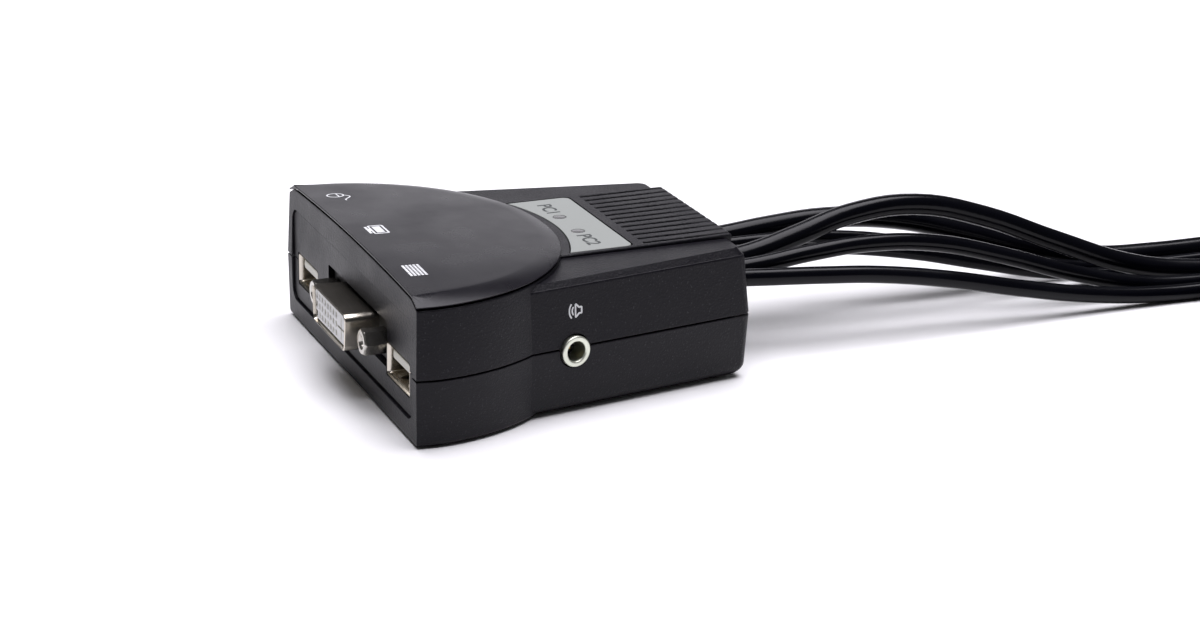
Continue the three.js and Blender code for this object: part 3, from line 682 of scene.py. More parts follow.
@dataclass(frozen=True)
class Finish:
    """Every finish of the object, by the piece it belongs to."""

    # The case's grain carries the strongest painted glints.
    case: Moulding = Moulding("case_moulding", (0.0036, 0.0032, 0.0056), 0.4, grain=2500,
                              depth=0.00014, strength=0.8, speck=0.35, uneven=0.1, specular=0.2)
    cap: Moulding = Moulding("cap_satin", (0.0046, 0.004, 0.0068), 0.3, grain=3400,
                             depth=0.00003, speck=0.03, uneven=0.05, specular=0.19)
    label: Moulding = Moulding("label_plate_print", (0.25, 0.265, 0.25), 0.4, grain=3000,
                               depth=0.00001, strength=0.2, uneven=0.03)
    ink: Moulding = Moulding("pale_ink", (0.62, 0.63, 0.64), 0.55, grain=5000, depth=0.00001,
                             strength=0.3, uneven=0.06)
    label_ink: Moulding = Moulding("dark_ink", (0.03, 0.035, 0.035), 0.5, grain=5000,
                                   depth=0.00001, strength=0.3, uneven=0.1)
    lens: Moulding = Moulding("milky_lens", (0.1, 0.1, 0.1), 0.25, grain=900, depth=0.00001,
                              strength=0.1, uneven=0.1, coat=0.3)
    insert: Moulding = Moulding("contact_block_moulding", (0.62, 0.61, 0.54), 0.42, grain=2400,
                                depth=0.00001, strength=0.2, uneven=0.04)
    # Painted shade: a near-black finish laid inside holes and bores where no light reaches.
    hole: Moulding = Moulding("dark_hollow", (0.004, 0.004, 0.004), 0.8, grain=2000)
    rubber: Moulding = Moulding("pad_rubber", (0.012, 0.012, 0.013), 0.75, grain=1800,
                                depth=0.00004, strength=0.5)
    jacket: Moulding = Moulding("lead_jacket", (0.0012, 0.0013, 0.0028), 0.2, grain=1400,
                                strength=0.3, uneven=0.15, specular=0.16)
    hood: Moulding = Moulding("plug_moulding", (0.006, 0.0063, 0.0078), 0.42, grain=2800,
                              depth=0.00003, strength=0.45, speck=0.03)
    board: Moulding = Moulding("board_lacquer", (0.015, 0.11, 0.045), 0.3, grain=900,
                               depth=0.00001, strength=0.2, uneven=0.3)
    chip: Moulding = Moulding("chip_package", (0.012, 0.012, 0.013), 0.55, grain=2600,
                              strength=0.3, speck=0.05)
    nickel: Plating = Plating("nickel_plate", (0.6, 0.56, 0.49), 0.24)
    ring: Plating = Plating("tin_plate", (0.7, 0.72, 0.62), 0.4)
    steel: Plating = Plating("steel_plate", (0.5, 0.48, 0.44), 0.24)
    # Near-black plating for the flange behind the video window.
    dull: Plating = Plating("dark_flange", (0.035, 0.034, 0.034), 0.5)
    gold: Plating = Plating("contact_gold", (0.83, 0.62, 0.26), 0.25)


FINISH = Finish()


def place(piece: bpy.types.Object, body: Body | str, slot: str, finish: Moulding | Plating | None,
          *nodes: str) -> bpy.types.Object:
    """Dresses a piece, makes it ride on a body and hides the nodes that it replaces.

    Args:
        piece: the object.
        body: the body that it rides on.
        slot: the record's material slot; not used.
        finish: its finish, or None where it is dressed already.
        *nodes: the nodes that it replaces.

    Returns:
        The same object.
    """
    if finish:
        piece.data.materials.clear()
        piece.data.materials.append(finish.make())
    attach(piece, body.value if isinstance(body, Body) else body)
    if nodes:
        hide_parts(*nodes)
    LOG.info("%s rides on %s", piece.name, body)
    return piece


# ---------- the case's own geometry ----------
@dataclass(frozen=True)
class CaseForm:
    """The case's outline and heights, worked out from the frame and a few named sizes."""

    front_y: float
    rear_y: float
    base_z: float
    parting_z: float
    nose_half: float = 44.7
    nose_depth: float = 43.0
    squareness: float = 2.1
    corner_ease: float = 0.9
    lower_draft: float = 0.5
    upper_draft: float = 1.1
    wall: float = 2.0
    body_half_front: float = 37.2
    taper: float = 0.189
    corner: float = 2.0
    nose_length: float = 23.0
    body_start: float = 8.0
    lip_height: float = 26.0
    shoulder_height: float = 26.7
    shoulder_rise: float = 0.009
    deck_height: float = 27.0
    deck_rise: float = 0.016
    deck_half_front: float = 20.2
    deck_half_rear: float = 18.6
    rim_height: float = 28.1
    rim_rise: float = 0.007
    crown_height: float = 30.5
    rear_draft: float = 0.9
    shoulder_bevel: float = 1.3
    cap_bevel: float = 4.2
    corner_drop: float = 2.2
    cap_sag: float = 0.001
    cross_sag: float = 0.65
    rim_edge: float = 0.3
    rim_gap: float = 0.45
    arc_steps: int = 168
    front_steps: int = 28
    front_proud: float = 0.6
    front_draft: float = 0.35

    @property
    def nose_end_y(self) -> float:
        """Where the nose's sides run into the body."""
        return self.front_y + self.nose_length

    @property
    def body_start_y(self) -> float:
        """Where the body's outline starts inside the nose."""
        return self.front_y + self.body_start

    @property
    def lip_z(self) -> float:
        """Top of the body's side walls."""
        return self.base_z + self.lip_height

    @property
    def cap_top_z(self) -> float:
        """Height of the cap's crown in the middle of its front edge."""
        return self.base_z + self.crown_height

    def front_edge_y(self, inset: float) -> float:
        """The front edge: proud of the socket face outside, and parallel to it inside the wall."""
        outside = self.front_y - self.front_proud + self.front_draft * inset
        return outside if inset < self.wall else self.front_y + inset

    def nose_plan(self, inset: float) -> np.ndarray:
        """The half-round nose in plan.

        The arc is a super-ellipse, x = a cos^p and y = b sin^p with p = 2 / squareness, drawn in
        near its two front corners by an amount that dies away as exp(-depth / 2.5). The straight
        front edge closes it.

        Args:
            inset: how far the outline is drawn in.

        Returns:
            The outline, from the right front corner round the back to the left and along the front.
        """
        a = self.nose_half - inset
        b = self.nose_depth - inset
        power = 2 / self.squareness
        start = math.asin((inset / b) ** (1 / power)) if inset > 0 else 0.0
        angle = np.linspace(start, np.pi - start, self.arc_steps + 1)
        depth = b * np.abs(np.sin(angle)) ** power
        hand = np.sign(np.cos(angle))
        x = a * hand * np.abs(np.cos(angle)) ** power - hand * self.corner_ease * np.exp(-depth / 2.5)
        arc = np.column_stack([x, self.front_y + depth])
        arc[[0, -1], 1] = self.front_edge_y(inset)
        share = 1 - 2 * np.arange(1, self.front_steps) / self.front_steps
        front = np.column_stack([arc[-1, 0] * share, np.full(len(share), self.front_edge_y(inset))])
        return np.concatenate([arc, front])

    def body_half(self, y: float) -> float:
        """Half-width of the tapering body at a place along it."""
        return self.body_half_front - self.taper * (y - self.nose_end_y)

    def body_plan(self, inset: float, start_y: float | None = None) -> np.ndarray:
        """The tapering body in plan, with two rounded rear corners.

        Args:
            inset: how far the outline is drawn in.
            start_y: where it starts.

        Returns:
            The outline.
        """
        first = self.body_start_y if start_y is None else start_y
        rear = self.rear_y - inset
        r = self.corner
        angle = np.linspace(0, np.pi / 2, 9)
        reach = self.body_half(rear - r) - inset - r
        arc = np.column_stack([reach + r * np.cos(angle), rear - r + r * np.sin(angle)])
        right = np.concatenate([[[self.body_half(first) - inset, first]], arc])
        return np.concatenate([right, (right * [-1, 1])[::-1]])

    def shoulder_z(self, y: float | np.ndarray) -> float | np.ndarray:
        """Height of the shoulders beside the deck, which rise to the rear."""
        return self.base_z + self.shoulder_height + self.shoulder_rise * (y - self.front_y)

    def deck_z(self, y: float | np.ndarray) -> float | np.ndarray:
        """Height of the raised deck, which rises to the rear."""
        return self.base_z + self.deck_height + self.deck_rise * (y - self.front_y)

    def deck_half(self, y: float) -> float:
        """Half-width of the deck, which narrows from the nose's end to the rear."""
        share = (y - self.nose_end_y) / (self.rear_y - self.nose_end_y)
        return self.deck_half_front + (self.deck_half_rear - self.deck_half_front) * share

    def crown_z(self, x: float | np.ndarray, y: float | np.ndarray) -> float | np.ndarray:
        """Height of the cap's crown: a bowl turned over, flatter across than along."""
        return self.cap_top_z - self.cap_sag * (self.cross_sag * x**2 + (y - self.front_y) ** 2)

    def rim_z(self, y: float | np.ndarray) -> float | np.ndarray:
        """Height of the cap's rim, which rises to the rear."""
        return self.base_z + self.rim_height + self.rim_rise * (y - self.front_y)

    def edge_z(self, plan: np.ndarray, inset: float) -> np.ndarray:
        """Height of the cap's outer edge: the rim round the arc and the crown along the front.

        Args:
            plan: the outline's points.
            inset: its inset.

        Returns:
            A height for each point.
        """
        x, y = plan.T
        start = self.nose_half - self.corner_ease - self.corner_drop - self.upper_draft
        beyond = np.clip((np.abs(x) - start) / self.corner_drop, 0, 1)
        crown = self.crown_z(x, y)
        along_front = crown + (self.rim_z(y) - crown) * beyond
        return np.where(y > self.front_y + inset + 0.01, self.rim_z(y), along_front)

    def on_side(self, points: np.ndarray, y: float, z: float) -> np.ndarray:
        """Moves a piece made along +X at the origin out to the right side wall.

        Args:
            points: its points.
            y: where along the wall.
            z: how high.

        Returns:
            The moved points.
        """
        return turn_z(points, math.atan(self.taper)) + np.array([self.body_half(y), y, z])


def case_form() -> CaseForm:
    """Reads the case's outer faces from the frame's lower shell."""
    low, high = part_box("lower_shell")
    return CaseForm(low.y / MM + CaseForm.front_proud, high.y / MM, low.z / MM, high.z / MM + GAP / 2)


FORM = case_form()


def fillet(radius: float, draft: float, z: float, steps: int = 5) -> list[tuple[float, float]]:
    """The rounded lower edge of a shell as (inset, z) rings.

    A quarter of a circle: the inset is r (1 - sin t) and the height r (1 - cos t).

    Args:
        radius: its radius.
        draft: the wall's inset above the round.
        z: height of the underside.
        steps: steps in the round.

    Returns:
        One pair for each ring.
    """
    angle = np.linspace(0, np.pi / 2, steps + 1)
    return [(draft + radius * (1 - math.sin(t)), z + radius * (1 - math.cos(t))) for t in angle]


# ---------- sockets' places ----------
@dataclass(frozen=True)
class Sockets:
    """Places and sizes of the openings in the walls."""

    usb_x: float = 30.7
    usb_z: float = FORM.base_z + 11.7
    usb_w: float = 14.0
    usb_h: float = 6.6
    usb_depth: float = 13.5
    dvi_x: float = 4.2
    dvi_z: float = FORM.base_z + 14.4
    dvi_w: float = 23.0
    dvi_h: float = 7.8
    dvi_taper: float = 0.8
    dvi_reach: float = 6.0
    post_spacing: float = 33.0
    window_w: float = 39.4
    window_h: float = 9.6
    jack_y: float = FORM.front_y + 35.3
    jack_z: float = FORM.base_z + 12.8
    jack_r: float = 3.2
    jack_hole_r: float = 2.0
    slot_half: float = 18.8
    slot_z: float = FORM.base_z + 16.4
    slot_h: float = 7.2
    light_x: float = 5.3
    light_y: float = FORM.front_y + 47.3
    light_r: float = 1.4


SOCKETS = Sockets()


def wall_tools() -> list[bpy.types.Object]:
    """Closed tools for everything that opens through the walls.

    Returns:
        The tools, which do not touch each other.
    """
    s = SOCKETS
    front = (FORM.front_y - 2, FORM.front_y + 2 * FORM.wall)
    window = slab_outline(s.dvi_x, s.dvi_z, s.window_w, s.window_h, 0.5)
    tools = [mesh_object("window_tool", loft([upright(window, y) for y in front]))]
    for x in (-s.usb_x, s.usb_x):
        hole = slab_outline(x, s.usb_z, s.usb_w + 2 * GAP, s.usb_h + 2 * GAP, 0.4)
        tools.append(mesh_object("usb_tool", loft([upright(hole, y) for y in front])))
    bore = circle(s.jack_r + GAP, 64)
    ring = [FORM.on_side(np.column_stack([np.full(64, x), bore]), s.jack_y, s.jack_z) for x in (-6, 6)]
    tools.append(mesh_object("jack_tool", loft(ring)))
    low = (-s.slot_half, FORM.rear_y - FORM.wall - 4, s.slot_z - s.slot_h / 2)
    tools.append(block("slot_tool", low, (s.slot_half, FORM.rear_y + 3, s.slot_z + s.slot_h / 2)))
    return tools


@dataclass(frozen=True)
class Panel:
    """The shallow rounded recess round the front sockets, with a thin groove along its edge."""

    z: float = FORM.base_z + 14.4
    width: float = 81.2
    height: float = 19.8
    corner: float = 2.6
    groove_half: float = 0.2
    groove_y: float = FORM.front_y + 0.75

    def outline(self, inset: float) -> np.ndarray:
        """The recess's outline at an inset."""
        width, height = self.width - 2 * inset, self.height - 2 * inset
        return slab_outline(0, self.z, width, height, self.corner - inset, 0, 10)

    def tools(self) -> list[bpy.types.Object]:
        """Tools for the recess, whose sides slant, and for the groove, a closed band of four rings."""
        y = FORM.front_y
        sides = [(-0.45, y - 2), (-0.45, y - 0.6), (0.2, y), (0.25, y + 0.05)]
        half = self.groove_half
        band = [(-half, y - 1), (-half, self.groove_y), (half, self.groove_y), (half, y - 1)]
        rings = [upright(self.outline(inset), depth) for inset, depth in band]
        return [bar_y("panel_tool", self.outline, sides), mesh_object("panel_groove", loft(rings, Cap.RING))]


# ---------- the two shells ----------
@dataclass
class Shells:
    """The lower and upper shells of the case."""

    groove_count: int = 13
    groove_pitch: float = 2.91
    groove_width: float = 1.1
    groove_depth: float = 0.9
    groove_start: float = 56.6
    least_groove: float = 0.15
    lip: float = 0.22
    screws: tuple = ((30, 21), (-30, 21), (19.5, 66), (-19.5, 66))
    pads: tuple = ((34, 8), (-34, 8), (21, 54), (-21, 54))
    pad_radius: float = 4.0
    sink_radius: float = 2.7
    sink_depth: float = 1.7

    def hollow(self, floor: float, nose_top: float, body_top: float) -> list[bpy.types.Object]:
        """Tools for the inside of the case.

        Args:
            floor: height of the inside floor.
            nose_top: top of the nose's hollow.
            body_top: top of the body's hollow.

        Returns:
            The nose's tool and the body's tool.
        """
        f = FORM
        start = f.body_start_y - 4
        nose = [level(f.nose_plan(f.wall + f.lower_draft), floor),
                level(f.nose_plan(f.wall + f.upper_draft), nose_top)]
        plan = f.body_plan(f.wall + f.upper_draft, start)
        return [mesh_object("nose_hollow", loft(nose)),
                mesh_object("body_hollow", loft([level(plan, floor), level(plan, body_top)]))]

    def lower(self) -> bpy.types.Object:
        """Builds the lower shell, with its foot seats and countersunk screw holes."""
        f = FORM
        top = f.parting_z - GAP / 2
        lip = self.lip
        edge = [(lip * 0.05, top - lip), (lip * 0.3, top - lip * 0.3), (lip, top)]
        shell = bar_z("lower_shell_fine", f.nose_plan, fillet(1.0, f.lower_draft, f.base_z, 4) + edge)
        body = bar_z("lower_body", f.body_plan, fillet(3.0, f.lower_draft, f.base_z, 10) + edge)
        carve(shell, [body], Carve.ADD)
        carve(shell, self.hollow(f.base_z + f.wall, f.parting_z + 5, f.parting_z + 5))
        tools = []
        for x, y in self.screws:
            ends = [(0, 0), (0, f.base_z + self.sink_depth)]
            tools.append(round_z("sink", x, f.front_y + y, self.sink_radius, ends, 40))
        for x, y in self.pads:
            ends = [(-0.2, 0), (-0.2, f.base_z), (0, f.base_z + 0.2), (0, 1.3)]
            tools.append(round_z("seat", x, f.front_y + y, self.pad_radius + GAP, ends, 56))
        for tool in Panel().tools():
            carve(shell, [tool])
        carve(shell, tools + wall_tools())
        shade(shell)
        return shell

    def upper(self) -> bpy.types.Object:
        """Builds the upper shell: nose wall and brim, body, shoulders and raised deck."""
        f = FORM
        shell = mesh_object("upper_shell_fine", loft(self.nose_rings(), Cap.FAN))
        body = mesh_object("upper_body", loft(self.body_rings()))
        carve(shell, [body, mesh_object("upper_deck", loft(self.deck_rings()))], Carve.ADD)
        carve(shell, self.hollow(f.parting_z - 5, f.cap_top_z + 5, f.base_z + f.shoulder_height - f.wall))
        for tool in Panel().tools():
            carve(shell, [tool])
        carve(shell, wall_tools())
        carve(shell, [Label().slab("pocket", GAP, -0.9, 3.0)])
        carve(shell, [mesh_object("groove", self.groove(i)) for i in range(self.groove_count)])
        shade(shell)
        return shell

    def nose_rings(self) -> list[np.ndarray]:
        """Rings of the upper nose wall, from the parting line to the brim under the cap."""
        f = FORM
        bottom = f.parting_z + GAP / 2
        lip = self.lip
        brim_plan = f.nose_plan(f.upper_draft)
        brim = f.edge_z(brim_plan, f.upper_draft) - f.rim_edge - f.rim_gap
        rings = [level(f.nose_plan(lip), bottom), level(f.nose_plan(lip * 0.3), bottom + lip * 0.3)]
        for share in (0.018, 0.35, 0.7, 0.975):
            plan = f.nose_plan(f.upper_draft * share)
            rings.append(level(plan, bottom + (brim - bottom) * share))
        rings.append(level(f.nose_plan(f.upper_draft + 0.05), brim - 0.18))
        rings.append(level(f.nose_plan(f.upper_draft + 0.16), brim - 0.06))
        rings.append(level(f.nose_plan(f.upper_draft + 0.4), brim))
        return rings

    def body_rings(self) -> list[np.ndarray]:
        """Rings of the upper body, with a bevel between its side walls and its shoulders."""
        f = FORM
        bottom = f.parting_z + GAP / 2
        lip = self.lip
        steps = [(lip, bottom), (lip * 0.3, bottom + lip * 0.3), (0.02, bottom + lip)]
        rings = [level(f.body_plan(inset), z) for inset, z in steps]
        for inset, down in ((1.04, 0.5), (1.1, 0.22), (1.22, 0.07), (1.4, 0.02)):
            rings.append(level(f.body_plan(inset), f.lip_z - down))
        edge = f.body_plan(f.upper_draft + f.shoulder_bevel)
        lip_plan = f.body_plan(f.upper_draft + 0.3)
        for share in (0.9, 1.0):
            plan = lip_plan + (edge - lip_plan) * share
            rings.append(level(plan, f.lip_z + (f.shoulder_z(plan[:, 1]) - f.lip_z) * share))
        return rings

    def deck_rings(self) -> list[np.ndarray]:
        """Rings of the raised deck, with a narrow bevel round its top."""
        f = FORM
        y0, y1 = f.front_y + 30, f.rear_y - f.rear_draft
        half0, half1 = f.deck_half(y0), f.deck_half(y1)
        def plan(inset: float) -> np.ndarray:
            """The deck's plan at an inset, with small rear corners."""
            front, rear, end = half0 - inset, half1 - inset, y1 - inset
            return rounded_outline([(front, y0), (rear, end), (-rear, end), (-front, y0)], 0.6, 4)
        rings = [level(plan(0), f.lip_z - 3)]
        for inset, down in ((0.0, 0.42), (0.04, 0.22), (0.15, 0.08), (0.42, 0.0)):
            outline = plan(inset)
            rings.append(level(outline, f.deck_z(outline[:, 1]) - down))
        return rings

    def groove(self, index: int) -> tuple[np.ndarray, list]:
        """One groove of the deck: a round-bottomed channel that runs out at the rear edge.

        Args:
            index: which groove, from the left.

        Returns:
            Points and faces of its tool.
        """
        f = FORM
        x = (index - (self.groove_count - 1) / 2) * self.groove_pitch
        half = self.groove_width / 2
        rings = []
        y0 = f.front_y + self.groove_start
        for share in (0.0, 0.012, 0.04, 1.0):
            y = y0 + (f.rear_y + 2 - y0) * share
            depth = self.groove_depth * (1 - 0.83 * share) * (0.35 if share == 0 else 1)
            depth = max(depth, self.least_groove)
            side = [(half + 0.16, 0.02), (half, -0.14), (half * 0.9, -depth * 0.8), (half * 0.5, -depth)]
            low = [(x + w, f.deck_z(y) + h) for w, h in side]
            mirror = [(2 * x - px, pz) for px, pz in low[::-1]]
            top = [(x - half - 0.16, f.deck_z(y) + 2), (x + half + 0.16, f.deck_z(y) + 2)]
            rings.append(upright(np.array(low + mirror + top), y))
        return loft(rings)

    def build(self) -> None:
        """Builds and dresses both shells."""
        place(self.lower(), Body.CASE, "case_plastic", FINISH.case, "lower_shell")
        place(self.upper(), Body.CASE, "case_plastic", FINISH.case, "upper_shell")


# ---------- label and indicator lights ----------
@dataclass
class Label:
    """The label plate behind the cap and the two lights in it."""

    half: float = 18.3
    rear: float = 54.2
    thick: float = 0.6
    figure: float = 3.0
    figure_x: float = 11.6

    def plan(self, grow: float) -> np.ndarray:
        """The plate in plan: its front edge follows the cap's arc at a small distance.

        Args:
            grow: how far the outline is pushed out.

        Returns:
            The outline.
        """
        f = FORM
        half = self.half + grow
        rear = f.front_y + self.rear + grow
        radius = f.nose_half - f.upper_draft + 0.9 - grow
        reach = math.asin(half / radius)
        angle = np.linspace(np.pi / 2 + reach, np.pi / 2 - reach, 40)
        arc = np.column_stack([radius * np.cos(angle), f.front_y + radius * np.sin(angle)])
        turn = np.linspace(0, np.pi / 2, 8)
        corner = np.column_stack([half - 1.5 + 1.5 * np.cos(turn), rear - 1.5 + 1.5 * np.sin(turn)])
        return np.concatenate([arc, corner, (corner * [-1, 1])[::-1]])

    def slab(self, name: str, grow: float, low: float, high: float,
             bevel: float = 0.0) -> bpy.types.Object:
        """The plate's outline given a thickness along the sloping deck.

        Args:
            name: the object's name.
            grow: how far the outline is pushed out.
            low: height of the underside over the deck.
            high: height of the top over the deck.
            bevel: width of the bevel round the top.

        Returns:
            The object.
        """
        rings = []
        soft = bevel * 0.3
        for inset, z in ((0.0, low), (0.0, high - bevel), (soft, high - soft), (bevel, high)):
            plan = self.plan(grow - inset)
            rings.append(level(plan, FORM.deck_z(plan[:, 1]) + z))
        return mesh_object(name, loft(rings if bevel else [rings[0], rings[-1]]))

    def build(self) -> None:
        """Builds and dresses the plate, the two lights and the figures beside them."""
        s = SOCKETS
        f = FORM
        plate = self.slab("label_plate_fine", 0, -self.thick, 0.0, 0.12)
        top = float(f.deck_z(s.light_y))
        tools = []
        for x in (-s.light_x, s.light_x):
            ends = [(0.0, top - 2), (0.0, top - 0.06), (-0.08, top + 0.06), (-0.08, top + 2)]
            tools.append(round_z("light_tool", x, s.light_y, s.light_r + 0.05, ends))
        carve(plate, tools)
        shade(plate)
        place(plate, Body.CASE, "label", FINISH.label, "label_plate")
        for i, x in enumerate((-s.light_x, s.light_x), 1):
            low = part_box(f"light_pipe_{i}")[0].z / MM
            profile = [(0.0, low), (1.0, low), (s.light_r, low + 0.3), (s.light_r, top - 0.12)]
            angle = np.linspace(0, np.pi / 2, 8)[1:]
            dome = [(s.light_r * math.cos(t), top - 0.12 + 0.2 * math.sin(t)) for t in angle]
            skin = stood_up(turned(profile + dome, 48), x, s.light_y)
            pipe = mesh_object(f"light_pipe_{i}_fine", skin)
            shade(pipe)
            place(pipe, Body.CASE, "lens", FINISH.lens, f"light_pipe_{i}")
            figure = figure_piece(f"PC{i}", self.figure, math.copysign(self.figure_x, x), s.light_y)
            place(figure, Body.CASE, "label", FINISH.label_ink)


def figure_piece(figure: str, height: float, x: float, y: float) -> bpy.types.Object:
    """A printed computer number that lies on the label.

    Args:
        figure: the number, in letters and figures.
        height: its height.
        x: middle, across.
        y: middle, along.

    Returns:
        The object.
    """
    curve = bpy.data.curves.new("figure", "FONT")
    curve.body = figure
    curve.size = height * 1.4
    curve.extrude = 0.04
    curve.offset = 0.07
    curve.resolution_u = 6
    text = add_object("figure", curve)
    graph = bpy.context.evaluated_depsgraph_get()
    mesh = bpy.data.meshes.new_from_object(text.evaluated_get(graph))
    bpy.data.objects.remove(text)
    flat = np.zeros(len(mesh.vertices) * 3, np.float32)
    mesh.vertices.foreach_get("co", flat)
    points = flat.reshape(-1, 3).astype(float)
    points[:, :2] -= (points[:, :2].max(0) + points[:, :2].min(0)) / 2
    points += [x, y, 0]
    points[:, 2] += FORM.deck_z(points[:, 1]) - 0.015
    mesh.vertices.foreach_set("co", (points * MM).astype(np.float32).ravel())
    mesh.update()
    return add_object(f"label_figure_{figure}", mesh)


# ---------- selector cap ----------
@dataclass
class SelectorCap:
    """The half-round cap that is pressed to change computers, with its printed signs."""

    skirt_inset: float = 2.4
    skirt_wall: float = 1.4
    plate: float = 2.4

    def rings(self) -> list[np.ndarray]:
        """Rings from the inside of the skirt, round the rim and over the crown."""
        f = FORM
        outer = f.nose_plan(f.upper_draft)
        rim = f.edge_z(outer, f.upper_draft)
        inner = f.nose_plan(f.upper_draft + self.skirt_inset + self.skirt_wall)
        skirt = f.nose_plan(f.upper_draft + self.skirt_inset)
        skirt_z = f.base_z + 24.0
        rings = [level(inner, f.crown_z(*inner.T) - self.plate), level(inner, skirt_z),
                 level(skirt, skirt_z), level(skirt, rim - f.rim_edge)]
        soft = 0.09
        for inset, down in ((soft, f.rim_edge), (0.0, f.rim_edge - soft), (0.0, soft), (soft, 0.0)):
            rings.append(level(f.nose_plan(f.upper_draft + inset), rim - down))
        bevel = f.nose_plan(f.upper_draft + f.cap_bevel)
        along_front = np.arange(len(bevel)) > f.arc_steps
        bevel[along_front] = f.nose_plan(f.upper_draft + soft)[along_front]
        start = rings[-1]
        end = level(bevel, f.crown_z(*bevel.T))
        for share in (0.25, 0.5, 0.75, 0.93):
            rings.append(start + (end - start) * share + [0, 0, 0.16 * math.sin(math.pi * share)])
        hub = np.array([0.0, f.front_y + 14])
        for share in (0.995, 0.97, 0.92, 0.84, 0.74, 0.62, 0.5, 0.38, 0.26, 0.14, 0.05):
            near = hub + (bevel - hub) * share
            rings.append(level(near, f.crown_z(*near.T)))
        return rings

    def build(self) -> None:
        """Builds and dresses the cap and its signs."""
        cap = mesh_object("selector_cap_fine", loft(self.rings(), Cap.FAN))
        ends = [(0, FORM.base_z + 24.4), (0, FORM.cap_top_z - 2)]
        stem = round_z("stem", 0, FORM.front_y + 24, 3.0, ends, 32)
        carve(cap, [stem], Carve.ADD)
        shade(cap, 28)
        place(cap, Body.CAP, "cap_plastic", FINISH.cap, "selector_cap")
        for sign in (self.mouse, self.monitor, self.keyboard):
            piece = mesh_object(f"cap_sign_{sign.__name__}", merge(sign()))
            place(piece, Body.CAP, "cap_plastic", FINISH.ink)

    def lay(self, points: np.ndarray, lift: float) -> np.ndarray:
        """Lays points of a sign on the crown, y being measured from the front edge."""
        x, y = points[:, 0], points[:, 1] + FORM.front_y
        return np.column_stack([x, y, FORM.crown_z(x, y) + lift])

    def mouse(self) -> list:
        """The sign of a mouse: an oval body with its button line and a bent lead."""
        x, y = -28.2, 5.5
        turn = np.arange(40) / 40 * 2 * np.pi
        oval = np.column_stack([x + 1.5 * np.cos(turn), y + 1.75 * np.sin(turn)])
        bar = np.array([[x - 1.3, y + 0.5], [x, y + 0.5], [x + 1.3, y + 0.5]])
        along = np.linspace(0, 1, 18)
        wave = 1.1 * np.sin(along * 1.6 * np.pi) * (1 - 0.4 * along)
        lead = np.column_stack([x + 0.3 + 4.4 * along, y + 1.75 + wave])
        return [stroke(oval, 0.34, self.lay, True), stroke(bar, 0.28, self.lay),
                stroke(lead, 0.3, self.lay)]

    def monitor(self) -> list:
        """The sign of a screen on its foot."""
        x, y = -0.3, 5.6
        frame_line = slab_outline(x, y + 0.5, 5.4, 2.9, 0.3, 0, 4)
        pane = np.array([[x - 2.1, y + 0.5], [x + 2.1, y + 0.5]])
        neck = np.array([[x, y - 1.0], [x, y - 1.5]])
        foot = np.array([[x - 2.3, y - 1.65], [x + 2.3, y - 1.65]])
        return [stroke(frame_line, 0.42, self.lay, True), stroke(pane, 1.7, self.lay),
                stroke(neck, 1.6, self.lay), stroke(foot, 0.55, self.lay)]

    def keyboard(self) -> list:
        """The sign of a keyboard: five rows of keys close together."""
        x, y = 26.4, 4.9
        strokes = []
        for row in range(5):
            at = y - 1.5 + row * 0.75
            cuts = np.linspace(x - 3.2, x + 3.2, 9 if row else 4)
            for left, right in zip(cuts[:-1], cuts[1:]):
                strokes.append(stroke(np.array([[left + 0.06, at], [right - 0.06, at]]), 0.52, self.lay))
        return strokes


# ---------- sockets ----------
def cup_y(name: str, outline: Outline, mouth: float, back: float, skin: float,
          flare: float = 0.0) -> bpy.types.Object:
    """A sheet-metal sleeve along Y, open in front and closed behind.

    Args:
        name: the object's name.
        outline: its outline at an inset.
        mouth: y of the open end.
        back: y of the closed end.
        skin: thickness of the sheet.
        flare: how far the lip opens outwards.

    Returns:
        The object.
    """
    r = skin / 2
    inner = [(skin, back - skin), (skin, mouth + 2 * skin), (skin * 0.7 - flare * 0.6, mouth + r)]
    lip = [(r - flare, mouth), (-flare, mouth + r * 0.6), (-flare * 0.7, mouth + 2 * skin)]
    outer = [(0.0, mouth + 4 * skin), (0.0, back)]
    piece = bar_y(name, outline, inner + lip + outer)
    shade(piece, 40)
    return piece


